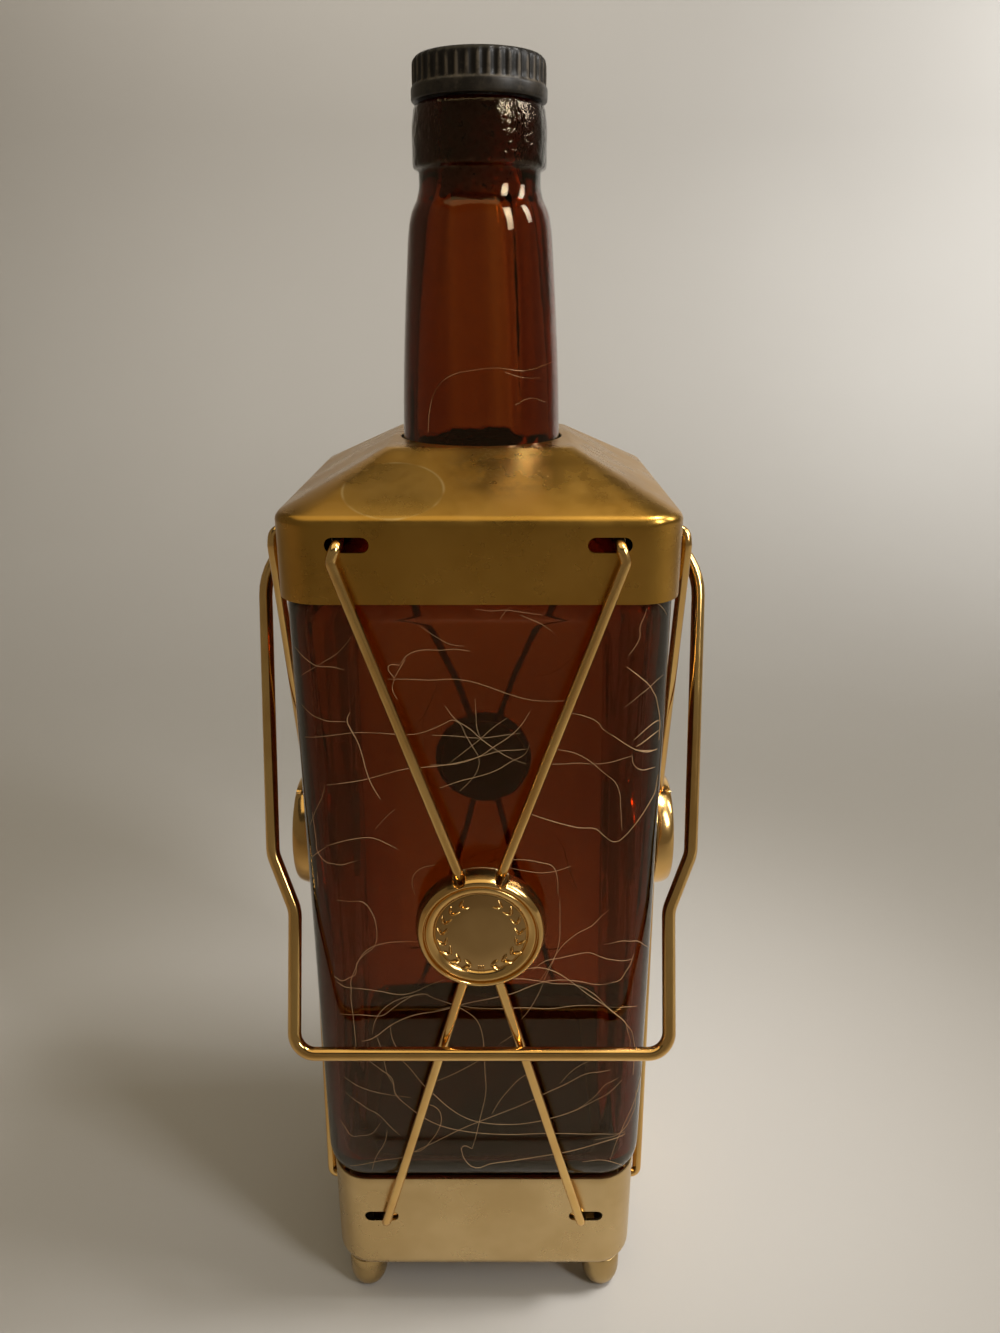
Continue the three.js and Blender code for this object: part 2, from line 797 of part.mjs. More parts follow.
// One crossing wire of the front face, from its top slot on one side to its base slot on the other
function crossingWire(side, depth) {
  const top = bandBottom + coverHookRise;
  const low = baseBottom + baseHookRise;
  const topOutside = coverHalf + gap + wireRadius;
  const topInside = coverHalf - sheet - gap - wireRadius;
  const lowInside = baseHalf - sheet - gap - wireRadius;
  const bend = 1.4 * wireRadius;
  const topTail = 1.7 * wireRadius;
  const straightening = 20 * wireRadius;
  const corners = [
    new THREE.Vector3(side * topReach, -topInside, top + topTail),
    new THREE.Vector3(side * topReach, -topInside, top),
    new THREE.Vector3(side * topReach, -topOutside, top),
    new THREE.Vector3(0, -depth, crossingHeight),
    new THREE.Vector3(-side * baseReach, -lowWireDepth, low),
    new THREE.Vector3(-side * baseReach, -lowInside, low),
    new THREE.Vector3(-side * baseReach, -lowInside, low - baseHookTail),
  ];
  return bentWire(wireRadius, corners, [bend, bend, straightening, bend, bend]);
}

// Stamped medallion around Z, its field's back at zero and its top towards +Y
function medallion() {
  const wallEnd = discFront + gap - medallionDepth;
  const field = medallionSheet;
  const crest = field + rimRise;
  const rimInner = medallionRadius - rimWidth;
  const ringMiddle = (rimInner + fieldRadius) / 2;
  const dish = turned([
    [0, 0],
    [medallionRadius - medallionSheet, 0],
    [medallionRadius - medallionSheet, wallEnd],
    [medallionRadius, wallEnd],
    [medallionRadius, crest - rimRise / 2],
    [medallionRadius - rimWidth / 3, crest],
    [medallionRadius - 2 * rimWidth / 3, crest],
    [rimInner, field + ringRise * 0.8],
    [ringMiddle, field + ringRise],
    [fieldRadius, field],
    [0, field],
  ]);
  const tabOuter = medallionRadius + tabRise;
  const tabInner = medallionRadius - medallionSheet;
  const tab = slab(
    [-tabHalf, tabHalf], [tabInner - weldDepth, tabOuter], [wallEnd, crest - rimRise / 2],
  );
  const notchHalf = wireRadius + 2 * gap;
  const below = wallEnd - overrun;
  const topX = medallionRadius * topReach / (bandBottom + coverHookRise - crossingHeight);
  const lowX = medallionRadius * baseReach / (crossingHeight - baseBottom - baseHookRise);
  const notch = (x, inner, outer, high) => (
    slab([x - notchHalf, x + notchHalf], [inner, outer], [below, high])
  );
  const rimEdge = medallionRadius - rimWidth;
  const outside = medallionRadius + overrun;
  return join(
    cut(
      dish,
      notch(topX, rimEdge, outside, crest + overrun),
      notch(-topX, rimEdge, outside, crest + overrun),
      notch(lowX, -outside, -rimEdge, -medallionSheet),
      notch(-lowX, -outside, -rimEdge, -medallionSheet),
    ),
    tab,
  );
}

function backingDisc() {
  return rod(medallionRadius - gap, 0, medallionSheet, 0, 0, turnedSides);
}

// Bail handle, built hanging straight down from its pivot and turned to its rest
function bailHandle() {
  const end = coverHalf - sheet - bailTuck;
  const outside = coverHalf + bailStandOff + bailRadius;
  const half = [
    [end, 0],
    [outside, 0],
    [coverHalf + bailFlareOut, bailFlareRun],
    [coverHalf + bailKneeOut, bailKneeRun],
    [coverHalf + bailWaistOut, bailWaistRun],
    [coverHalf + bailWaistOut, bailLength],
  ];
  const rightLeg = half.map(([x, run]) => new THREE.Vector3(x, 0, -run));
  const leftLeg = half.map(([x, run]) => new THREE.Vector3(-x, 0, -run)).reverse();
  const bends = [bailEndBend, 2 * bailKneeBend, bailKneeBend, bailKneeBend, bailCornerRadius];
  return bentWire(bailRadius, [...rightLeg, ...leftLeg], [...bends, ...[...bends].reverse()], 10);
}

// Tilt at which the bar lies just outside the front wires, or outside the medallion if it meets that
function bailTilt() {
  const badgeFace = medallionDepth + medallionSheet + rimRise;
  const badgeReach = medallionRadius + gap + bailRadius;
  let tilt = 0;
  for (let round = 0; round < 6; round += 1) {
    const barHeight = bandBottom + bailPivotRise - bailLength * Math.cos(tilt);
    const share = (crossingHeight - barHeight) / (crossingHeight - baseBottom - baseHookRise);
    const wireDepth = outerWireDepth + share * (lowWireDepth - outerWireDepth);
    const meetsBadge = Math.abs(barHeight - crossingHeight) < badgeReach;
    const face = Math.max(wireDepth + wireRadius, meetsBadge ? badgeFace : 0);
    tilt = Math.asin((face + gap + bailRadius) / bailLength);
  }
  return tilt;
}

// Plate and pad that carry the bottle

function squarePlate(half, corner, low, high) {
  return upright(roundedRectangle(-half, half, -half, half, corner), low, high, 1);
}

function restPad() {
  return squarePlate(bottleHalf - heelRadius, plateCorner, padBottom, padTop);
}

function restPlate() {
  const foot = baseFloor + gap + screwHeadHeight + gap;
  const head = plateTop - plateThickness / 2;
  const pillars = footCorners.map(([, x, y]) => rod(pillarRadius, foot, head, x, y));
  return join(squarePlate(plateHalf, plateCorner, plateBottom, plateTop), ...pillars);
}

// Movement's bed, with three screw bosses and the seat of the comb

const combBottom = axisHeight - combThickness / 2;
const combTip = -(drumRadius + pinRise + gap);
const combBack = combTip - combLength;
const combMiddle = (drumLeft + drumRight) / 2;
const combScrewY = combBack + combHeelLength / 2;
const bedLeft = leverX - 2 * leverPinRadius - bedMargin;
const bedRight = barrelX + barrelRadius + bedMargin;
const bedBack = postFront + bracketSheet + bedMargin / 2;
const bedScrews = [
  [bedLeft + 2 * bedBossRadius, combBack + 2 * bedBossRadius],
  [bedRight - bedBossRadius, combBack + 2 * bedBossRadius],
  [(bedLeft + bedRight) / 2, bedBack - bedBossRadius],
];

function bedplate() {
  const plate = upright(
    roundedRectangle(bedLeft, bedRight, combBack, bedBack, bedCorner), bedUnderside, bedTop, 1,
  );
  const seat = slab(
    [drumLeft, drumRight], [combBack, combBack + combHeelLength], [bedTop - weldDepth, combBottom - gap],
  );
  const bosses = bedScrews.map(([x, y]) => rod(bedBossRadius, bedBottom, bedUnderside + weldDepth, x, y));
  const combHoles = [-combScrewSpread, combScrewSpread].map((shift) => (
    rod(around(screwRadius), combBottom - combHeelLength, combBottom, combMiddle + shift, combScrewY)
  ));
  const holeEnd = bedTop - bedThickness / 3;
  return cut(
    join(plate, seat, ...bosses),
    rod(around(arborRadius), bedUnderside - overrun, bedTop + overrun, barrelX, 0),
    ...bedScrews.map(([x, y]) => rod(around(screwRadius), bedBottom - overrun, holeEnd, x, y)),
    ...combHoles,
  );
}

function bedScrew() {
  const head = baseBottom - gap;
  return turned([
    [0, head - screwHeadHeight],
    [screwHeadRadius / 2, head - screwHeadHeight],
    [screwHeadRadius, head - screwHeadHeight / 2],
    [screwHeadRadius, head],
    [screwRadius, head],
    [screwRadius, bedTop - bedThickness / 3 - gap],
    [0, bedTop - bedThickness / 3 - gap],
  ], slimSides);
}

// Comb, with longer slots between the lower notes at the left
function comb() {
  const slotAt = (tone) => combLongSlot - (combLongSlot - combShortSlot) * tone / (toneCount - 1);
  const left = combMiddle - drumLength / 2;
  const points = [[left, combBack]];
  points.push([left + drumLength, combBack]);
  for (let tone = toneCount - 1; tone >= 0; tone -= 1) {
    const middle = left + (tone + 0.5) * tonePitch;
    const slot = slotAt(tone);
    points.push([middle + combToothWidth / 2, combTip - slot]);
    points.push([middle + combToothWidth / 2, combTip]);
    points.push([middle - combToothWidth / 2, combTip]);
    points.push([middle - combToothWidth / 2, combTip - slotAt(Math.max(tone - 1, 0))]);
  }
  const shape = outline(points);
  for (const shift of [-combScrewSpread, combScrewSpread]) {
    shape.holes.push(roundHole(around(screwRadius), combMiddle + shift, combScrewY));
  }
  return upright(shape, combBottom, combBottom + combThickness);
}

function combScrew() {
  const head = combBottom + combThickness + gap;
  return turned([
    [0, combBottom - combHeelLength + gap],
    [screwRadius, combBottom - combHeelLength + gap],
    [screwRadius, head],
    [0.8 * screwHeadRadius, head],
    [0.8 * screwHeadRadius, head + screwHeadHeight],
    [0, head + screwHeadHeight],
  ], slimSides);
}

// Pinned cylinder around Z from its left end at zero, its pins on one track for each tone
function pinCylinder() {
  const bore = around(rodRadius, turnedSides);
  const drum = turned([
    [bore, 0], [drumRadius, 0], [drumRadius, drumLength], [bore, drumLength], [bore, 0],
  ]);
  const pins = [];
  for (let tone = 0; tone < toneCount; tone += 1) {
    for (const beat of [0, 1]) {
      const step = (5 * tone + 11 * beat + 3 * (tone % 4)) % turnedSides;
      const along = (tone + 0.5) * tonePitch;
      const pin = slab(
        [drumRadius - pinWidth, drumRadius + pinRise],
        [-pinWidth / 2, pinWidth / 2],
        [along - pinWidth / 2, along + pinWidth / 2],
      );
      pins.push(pin.rotateZ(2 * Math.PI * step / turnedSides));
    }
  }
  return join(drum, ...pins);
}

// Cylinder's arbor and its pinion around Z, with a tooth at the angle that becomes straight down
function cylinderArbor() {
  const left = wormWheelLeft - wheelSpacing - bracketSheet;
  const right = pinionX + pinionWidth / 2 + gap + bridgeSheet;
  const pinion = upright(
    gearShape(pinionTeeth, pinionRadius, crownAddendum, crownDedendum, 0),
    pinionX - pinionWidth / 2, pinionX + pinionWidth / 2,
  );
  return join(rod(rodRadius, left, right), pinion);
}

function cylinderWheel() {
  const towardGovernor = Math.PI / 2 - governorDrop;
  const shape = gearShape(
    cylinderWheelTeeth, cylinderWheelRadius, 0.8 * fineModule, 1.2 * fineModule,
    towardGovernor, around(rodRadius),
  );
  return upright(shape, wheelLeft, wheelRight);
}

function governorArbor() {
  const towardCylinder = 1.5 * Math.PI - governorDrop;
  const halfTooth = Math.PI / governorPinionTeeth;
  const pinion = gearShape(
    governorPinionTeeth, governorPinionRadius, 0.8 * fineModule, 1.2 * fineModule,
    towardCylinder + halfTooth,
  );
  const wheel = gearShape(
    wormWheelTeeth, wormWheelRadius, 0.7 * wormModule, 1.2 * wormModule, Math.PI / 2,
  );
  const left = wormWheelLeft - wheelSpacing - bracketSheet;
  const right = wheelRight + gap + bracketSheet + gap;
  return join(
    rod(governorRodRadius, left, right),
    upright(pinion, wheelLeft, wheelRight),
    upright(wheel, wormWheelLeft, wormWheelRight),
  );
}

// Worm around Z at its own place, its thread between two teeth of the wheel
function governorWorm() {
  const phase = 1.5 * Math.PI - Math.PI + 2 * Math.PI * (wormTurns / 2);
  const helix = new Helix(wormPitchRadius - wormThreadRadius / 2, wormLead, wormTurns, wormBottom, phase);
  const bearingBottom = onBed + bracketSheet + gap;
  return join(
    rod(wormRodRadius, bearingBottom, armBottom + bracketSheet),
    rod(wormRootRadius, wormBottom - wormThreadRadius, wormTop + wormThreadRadius),
    wound(helix, wormThreadRadius, coilSides),
  );
}

function governorFan() {
  const wings = slab([-fanRadius, fanRadius], [-fanThickness / 2, fanThickness / 2], [fanBottom, fanTop]);
  const hub = rod(fanHubRadius, fanBottom, fanTop);
  return cut(join(wings, hub), rod(around(wormRodRadius), fanBottom - overrun, fanTop + overrun));
}

// Governor's bracket: foot, left and right ears, back post and the arm over the fan
function governorBracket() {
  const left = wormWheelLeft - wheelSpacing - bracketSheet;
  const earLeft = [left, left + bracketSheet];
  const earRight = [wheelRight + gap, wheelRight + gap + bracketSheet];
  const post = [postFront, postFront + bracketSheet];
  const footTop = onBed + bracketSheet;
  const armHalf = bearingRadius;
  const governorTop = governorZ + earHalf - bracketSheet;
  const earBack = governorY + governorRodRadius + bracketSheet;
  const footPlate = slab([earLeft[0], earRight[1]], [-earHalf, post[1]], [onBed, footTop]);
  const low = footTop - weldDepth;
  const cylinderEar = slab(earLeft, [-earHalf, earHalf], [low, axisHeight + earCover]);
  const governorEar = slab(earLeft, [-earHalf, earBack], [low, governorTop]);
  const secondEar = slab(earRight, [governorY - bearingRadius, earBack], [low, governorTop]);
  const upPost = slab([wormX - armHalf, wormX + armHalf], post, [low, armBottom + bracketSheet]);
  const armTop = armBottom + bracketSheet;
  const arm = slab([wormX - armHalf, wormX + armHalf], [wormY - armHalf, post[1]], [armBottom, armTop]);
  const footBearing = rod(bearingRadius, low, footTop + bearingHeight, wormX, wormY);
  return cut(
    join(footPlate, cylinderEar, governorEar, secondEar, upPost, arm, footBearing),
    rodAlongX(around(rodRadius), earLeft[0] - overrun, earLeft[1] + overrun, 0, axisHeight),
    rodAlongX(around(governorRodRadius), earLeft[0] - overrun, earRight[1] + overrun, governorY, governorZ),
    rod(around(wormRodRadius), footTop, footTop + bearingHeight + overrun, wormX, wormY),
    rod(around(wormRodRadius), armBottom - overrun, armTop + overrun, wormX, wormY),
  );
}

// Spring barrel around Z at its own place, with its crown teeth and a gap towards the pinion
function springBarrel() {
  const inner = barrelRadius - barrelWall;
  const bore = around(arborRadius, crownTeeth);
  const cup = turned([
    [bore, onBed],
    [barrelRadius, onBed],
    [barrelRadius, crownRoot],
    [inner, crownRoot],
    [inner, onBed + barrelFloor],
    [bore, onBed + barrelFloor],
    [bore, onBed],
  ], crownTeeth);
  const pitch = crownPitch;
  const tooth = outline([
    [-rootShare * pitch / 2, crownRoot - weldDepth],
    [rootShare * pitch / 2, crownRoot - weldDepth],
    [rootShare * pitch / 2, crownRoot],
    [tipShare * pitch / 2, crownTip],
    [-tipShare * pitch / 2, crownTip],
    [-rootShare * pitch / 2, crownRoot],
  ]);
  const reach = barrelWall - 2 * weldDepth / 2;
  const block = upright(tooth, -crownRadius - reach / 2, -crownRadius + reach / 2).rotateX(Math.PI / 2);
  const teeth = Array.from({ length: crownTeeth }, (_, index) => (
    block.clone().rotateZ(2 * Math.PI * index / crownTeeth)
  ));
  return join(cup, ...teeth);
}

function barrelLid() {
  const outer = barrelRadius - barrelWall - gap;
  const high = crownRoot - gap;
  const low = high - barrelFloor;
  const bore = around(arborRadius, turnedSides);
  return turned([[bore, low], [outer, low], [outer, high], [bore, high], [bore, low]]);
}

// Mainspring, a flat strip wound from the arbor out to the barrel's wall
function mainspring() {
  const turns = 4;
  const steps = 12;
  const inner = arborRadius + springHubClearance;
  const outer = barrelRadius - barrelWall - gap - springThickness;
  const edge = (offset) => Array.from({ length: turns * steps + 1 }, (_, step) => {
    const radius = inner + (outer - inner) * step / (turns * steps) + offset;
    const angle = 2 * Math.PI * step / steps;
    return [radius * Math.cos(angle), radius * Math.sin(angle)];
  });
  const shape = outline([...edge(springThickness), ...edge(0).reverse()]);
  return upright(shape, onBed + barrelFloor + gap, crownRoot - 2 * gap - barrelFloor);
}

function barrelBridge() {
  const legInner = barrelRadius + 2 * gap;
  const legOuter = legInner + bridgeSheet;
  const earRight = pinionX + pinionWidth / 2 + gap;
  const ear = [earRight, earRight + bridgeSheet];
  const plate = slab(
    [barrelX - bridgeHalf, barrelX + bridgeHalf], [-legOuter, legOuter], [bridgeBottom, bridgeTop],
  );
  const arm = slab([ear[0], barrelX], [-bridgeHalf, bridgeHalf], [bridgeBottom, bridgeTop]);
  const upEar = slab(ear, [-bridgeHalf, bridgeHalf], [bridgeTop - weldDepth, axisHeight + earCover]);
  const leg = (front, back) => slab(
    [barrelX - bridgeHalf, barrelX + bridgeHalf], [front, back], [onBed, bridgeBottom + weldDepth],
  );
  return cut(
    join(plate, arm, upEar, leg(-legOuter, -legInner), leg(legInner, legOuter)),
    rodAlongX(around(rodRadius), ear[0] - overrun, ear[1] + overrun, 0, axisHeight),
    rod(around(arborPivotRadius), bridgeBottom - overrun, bridgeTop + overrun, barrelX, 0),
  );
}

function windingArbor() {
  const low = keyRise + keySocketWall + gap;
  const shoulder = bridgeBottom - gap;
  return turned([
    [0, low],
    [arborRadius, low],
    [arborRadius, shoulder],
    [arborPivotRadius, shoulder],
    [arborPivotRadius, bridgeTop],
    [0, bridgeTop],
  ], slimSides);
}

// Butterfly key around Z, its wings along X
function windingKey() {
  const middle = keyRise + keyWingRadius;
  const disc = outline(circlePoints(keyWingRadius, footSides));
  const wing = (side) => upright(disc, -keyThickness / 2, keyThickness / 2)
    .rotateX(Math.PI / 2)
    .translate(side * keyWingReach, 0, middle);
  const hole = (side) => rodAlongY(keyWingHole, -keyThickness, keyThickness, side * keyWingReach, middle);
  const web = slab(
    [-keyWingReach, keyWingReach],
    [-keyThickness / 2, keyThickness / 2],
    [middle - keyWingRadius / 2, middle + keyWingRadius / 2],
  );
  const boss = rod(keyBossRadius, keyRise, keyRise + keyBossHeight);
  return cut(
    join(boss, web, wing(-1), wing(1)),
    rod(around(arborRadius), keyRise + keySocketWall, keyRise + keyBossHeight + overrun),
    hole(-1),
    hole(1),
  );
}

// Stop: plunger, its spring, its bush, the stand, the lever and its pin

function stopPlunger() {
  const collar = plungerRadius + collarWidth;
  return turned([
    [0, plungerLift],
    [plungerRadius / 2, plungerLift],
    [plungerRadius, plungerLift + plungerRadius / 2],
    [plungerRadius, plungerCollar],
    [collar, plungerCollar],
    [collar, plungerCollar + collarThickness],
    [plungerRadius, plungerCollar + collarThickness],
    [plungerRadius, plungerTop],
    [0, plungerTop],
  ], slimSides);
}

function plungerSpring() {
  const lead = (coilLength - 2 * coilWire) / coilTurns;
  const radius = plungerRadius + gap + coilWire;
  return wound(new Helix(radius, lead, coilTurns, coilBottom + coilWire), coilWire, coilSides);
}

function plungerBush() {
  const bore = around(plungerRadius);
  const outer = plungerRadius + gap + bushWall;
  const low = baseBottom - bushNose;
  const flangeBottom = baseFloor + gap;
  return turned([
    [bore, low],
    [outer, low],
    [outer, flangeBottom],
    [outer + bushWall, flangeBottom],
    [outer + bushWall, bushTop],
    [bore, bushTop],
    [bore, low],
  ], slimSides);
}

const leverFront = wormY - leverHalf - gap - standThickness;
const leverBack = wormY + leverHalf + gap;

function leverStand() {
  const upRight = leverX + 2 * leverPinRadius;
  const upLeft = leverX - 2 * leverPinRadius;
  const standBack = leverFront + standThickness;
  const up = slab([upLeft, upRight], [leverFront, standBack], [onBed, leverZ + 2 * leverPinRadius]);
  const hold = plungerRadius + gap + bushWall;
  const guideTop = guideBottom + bracketSheet;
  const guide = slab([plungerX - hold, upRight], [leverFront, wormY + hold], [guideBottom, guideTop]);
  return cut(
    join(up, guide),
    rod(around(plungerRadius), guideBottom - overrun, guideTop + overrun, plungerX, wormY),
    rodAlongY(around(leverPinRadius), leverFront - overrun, standBack + overrun, leverX, leverZ),
  );
}

// Bell crank in the plane of the plunger and the fan
function stopLever() {
  const noseTop = leverRise + leverHalf;
  const end = -leverReach - leverOverhang;
  const eye = leverPinRadius + gap + leverHalf;
  const shape = outline([
    [end, -leverHalf],
    [-2 * eye, -leverHalf],
    [-eye / 2, -eye],
    [eye, -eye / 2],
    [eye, leverRise - leverHalf],
    [leverNoseReach, leverRise - leverHalf],
    [leverNoseReach, noseTop],
    [leverPinRadius - leverHalf, noseTop],
    [-eye, eye],
    [-2 * eye, leverHalf],
    [end, leverHalf],
  ]);
  shape.holes.push(roundHole(around(leverPinRadius)));
  return upright(shape, -leverHalf, leverHalf).rotateX(Math.PI / 2).translate(leverX, wormY, leverZ);
}

function leverPin() {
  const head = leverBack;
  return join(
    rodAlongY(leverPinRadius, leverFront, head + weldDepth, leverX, leverZ),
    rodAlongY(2 * leverPinRadius, head, head + leverPinHead, leverX, leverZ),
  );
}

// Finishes

function finish(color, roughness, metalness) {
  return new THREE.MeshStandardMaterial({ color, roughness, metalness });
}

const amberGlass = finish(0x4a1f06, 0.08, 0);
const satinGold = finish(0xa88a4c, 0.38, 1);
const brightGold = finish(0xc49a4e, 0.22, 1);
const blackPlastic = finish(0x25252a, 0.6, 0);
const corkWood = finish(0xb98d5d, 0.85, 0);
const greyFelt = finish(0x4b4a47, 0.95, 0);
const steel = finish(0x8d9094, 0.3, 1);
const brass = finish(0xb9954b, 0.3, 1);
const nylon = finish(0xd9d4c6, 0.6, 0);

// Assembly

const decanter = new THREE.Group();

function add(name, geometry, material, parent = decanter, [x, y, z] = [0, 0, 0]) {
  const mesh = new THREE.Mesh(geometry, material);
  mesh.name = name;
  mesh.position.set(x, y, z);
  parent.add(mesh);
  return mesh;
}

add('bottle', bottle(), amberGlass);
add('stopper_cap', stopperCap(), blackPlastic);
add('stopper_cork', stopperCork(), corkWood);
add('shoulder_cover', shoulderCover(), satinGold);
add('base_housing', baseHousing(), satinGold);

for (const [corner, x, y] of footCorners) {
  add(`foot_${corner}`, foot(), brightGold, decanter, [x, y, 0]);
  add(`foot_screw_${corner}`, footScrew(), steel, decanter, [x, y, 0]);
}

['front', 'right', 'back', 'left'].forEach((faceName, index) => {
  const face = new THREE.Group();
  face.rotation.z = index * Math.PI / 2;
  decanter.add(face);
  add(`frame_wire_${faceName}_falling`, crossingWire(-1, outerWireDepth), brightGold, face);
  add(`frame_wire_${faceName}_rising`, crossingWire(1, innerWireDepth), brightGold, face);
  const centre = (depth) => [0, -depth, crossingHeight];
  const badge = add(`medallion_${faceName}`, medallion(), brightGold, face, centre(medallionDepth));
  badge.rotation.x = Math.PI / 2;
  const disc = add(`backing_disc_${faceName}`, backingDisc(), satinGold, face, centre(discBack));
  disc.rotation.x = Math.PI / 2;
});

const bail = add('bail_handle', bailHandle(), brightGold, decanter, [0, 0, bandBottom + bailPivotRise]);
bail.rotation.x = -bailTilt();

add('bottle_rest_pad', restPad(), greyFelt);
add('bottle_rest_plate', restPlate(), steel);
add('movement_bedplate', bedplate(), brass);
bedScrews.forEach(([x, y], index) => {
  add(`movement_screw_${index + 1}`, bedScrew(), steel, decanter, [x, y, 0]);
});

add('comb', comb(), steel);
add('comb_screw_left', combScrew(), brass, decanter, [combMiddle - combScrewSpread, combScrewY, 0]);
add('comb_screw_right', combScrew(), brass, decanter, [combMiddle + combScrewSpread, combScrewY, 0]);

const cylinderLine = new THREE.Group();
cylinderLine.position.z = axisHeight;
cylinderLine.rotation.y = Math.PI / 2;
decanter.add(cylinderLine);
add('pin_cylinder', pinCylinder(), brass, cylinderLine, [0, 0, drumLeft]);
add('cylinder_arbor', cylinderArbor(), steel, cylinderLine);
add('cylinder_wheel', cylinderWheel(), brass, cylinderLine);

const governorLine = new THREE.Group();
governorLine.position.set(0, governorY, governorZ);
governorLine.rotation.y = Math.PI / 2;
decanter.add(governorLine);
add('governor_arbor', governorArbor(), brass, governorLine);

add('governor_worm', governorWorm(), steel, decanter, [wormX, wormY, 0]);
add('governor_fan', governorFan(), brass, decanter, [wormX, wormY, 0]);
add('governor_bracket', governorBracket(), steel);

add('spring_barrel', springBarrel(), brass, decanter, [barrelX, 0, 0]).rotation.z = Math.PI / crownTeeth;
add('barrel_lid', barrelLid(), brass, decanter, [barrelX, 0, 0]);
add('mainspring', mainspring(), steel, decanter, [barrelX, 0, 0]);
add('barrel_bridge', barrelBridge(), steel);
add('winding_arbor', windingArbor(), steel, decanter, [barrelX, 0, 0]);
add('winding_key', windingKey(), brass, decanter, [barrelX, 0, 0]);

add('stop_plunger', stopPlunger(), brass, decanter, [plungerX, wormY, 0]);
add('plunger_spring', plungerSpring(), steel, decanter, [plungerX, wormY, 0]);
add('plunger_bush', plungerBush(), nylon, decanter, [plungerX, wormY, 0]);
add('lever_stand', leverStand(), steel);
add('stop_lever', stopLever(), steel);
add('lever_pin', leverPin(), brass);

export default decanter;
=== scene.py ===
import math
from itertools import accumulate

import bmesh
import bpy
from mathutils import Matrix, Vector, noise


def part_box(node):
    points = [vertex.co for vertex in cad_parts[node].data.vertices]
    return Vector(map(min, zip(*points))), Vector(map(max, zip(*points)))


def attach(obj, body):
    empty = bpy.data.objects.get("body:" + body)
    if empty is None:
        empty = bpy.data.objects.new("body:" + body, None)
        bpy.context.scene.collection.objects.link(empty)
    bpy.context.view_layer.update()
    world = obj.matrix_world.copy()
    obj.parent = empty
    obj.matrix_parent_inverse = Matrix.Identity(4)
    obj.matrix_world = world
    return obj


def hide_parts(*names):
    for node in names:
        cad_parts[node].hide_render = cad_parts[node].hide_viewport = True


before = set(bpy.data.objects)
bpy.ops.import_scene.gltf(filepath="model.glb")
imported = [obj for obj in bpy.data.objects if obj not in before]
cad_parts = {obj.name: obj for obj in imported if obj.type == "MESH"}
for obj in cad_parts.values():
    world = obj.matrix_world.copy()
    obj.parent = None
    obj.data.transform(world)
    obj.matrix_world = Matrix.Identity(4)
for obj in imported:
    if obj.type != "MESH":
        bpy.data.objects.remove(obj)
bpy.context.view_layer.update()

MM = 0.001
FACES = ("front", "right", "back", "left")
CORNERS = (("front_left", -1, -1), ("front_right", 1, -1), ("back_right", 1, 1), ("back_left", -1, 1))


# ---- meshes

def linked(name, data):
    """A new object of the data, in the scene's collection."""
    obj = bpy.data.objects.new(name, data)
    bpy.context.collection.objects.link(obj)
    return obj


def removed(obj):
    """Takes an object and its mesh out of the file."""
    mesh = obj.data
    bpy.data.objects.remove(obj)
    bpy.data.meshes.remove(mesh)


def mesh_object(name, points, faces, sharp=None):
    """A mesh object from points in millimetres, its edges sharp above an angle in degrees."""
    mesh = bpy.data.meshes.new(name)
    mesh.from_pydata([Vector(p) * MM for p in points], [], faces)
    mesh.validate()
    bm = bmesh.new()
    bm.from_mesh(mesh)
    bmesh.ops.recalc_face_normals(bm, faces=bm.faces)
    bm.to_mesh(mesh)
    bm.free()
    obj = linked(name, mesh)
    shade(obj, sharp)
    return obj


def shade(obj, sharp):
    mesh = obj.data
    mesh.polygons.foreach_set("use_smooth", [True] * len(mesh.polygons))
    if sharp:
        mesh.set_sharp_from_angle(angle=math.radians(sharp))
    mesh.update()


def rows_of(rings, first=0):
    """Numbers of the rings' points, ring by ring, from the first number given."""
    count = len(rings[0])
    return [range(first + r * count, first + (r + 1) * count) for r in range(len(rings))]


def quads(rows):
    """Faces between rows of point numbers, each row closed on itself."""
    faces = []
    for low, high in zip(rows, rows[1:]):
        n = len(low)
        faces += [(low[i], low[i + 1 - n], high[i + 1 - n], high[i]) for i in range(n)]
    return faces


def circle(count):
    angles = [2 * math.pi * i / count for i in range(count)]
    return [(math.cos(angle), math.sin(angle)) for angle in angles]


def lofted(name, rings, sharp=None, loop=False):
    """Quads between rings of equal length, with closed ends, or the last ring joined to the first."""
    rows = rows_of(rings)
    faces = quads(rows + rows[:1] if loop else rows)
    if not loop:
        faces += [tuple(reversed(rows[0])), tuple(rows[-1])]
    return mesh_object(name, [p for ring in rings for p in ring], faces, sharp)


def turned(name, profile, count, sharp=None):
    """Profile of (radius, height) turned around Z, its first and last radius zero."""
    points = []
    rows = []
    for radius, height in profile:
        first = len(points)
        if radius <= 1e-6:
            points.append((0, 0, height))
        else:
            points += [(radius * c, radius * s, height) for c, s in circle(count)]
        rows.append(range(first, len(points)))
    bottom, top = rows[0][0], rows[-1][0]
    faces = [(bottom, rows[1][i + 1 - count], rows[1][i]) for i in range(count)] + quads(rows[1:-1])
    faces += [(rows[-2][i], rows[-2][i + 1 - count], top) for i in range(count)]
    return mesh_object(name, points, faces, sharp)


def moved(obj, matrix):
    obj.data.transform(matrix)
    obj.data.update()
    return obj


def shifted(obj, x, y, z):
    return moved(obj, Matrix.Translation(Vector((x, y, z)) * MM))


def quarter_turn(count):
    """From the front face to the face that many quarter turns on."""
    return Matrix.Rotation(count * math.pi / 2, 4, "Z")


def copy_of(obj, name):
    new = linked(name, obj.data.copy())
    new.data.name = name
    return new


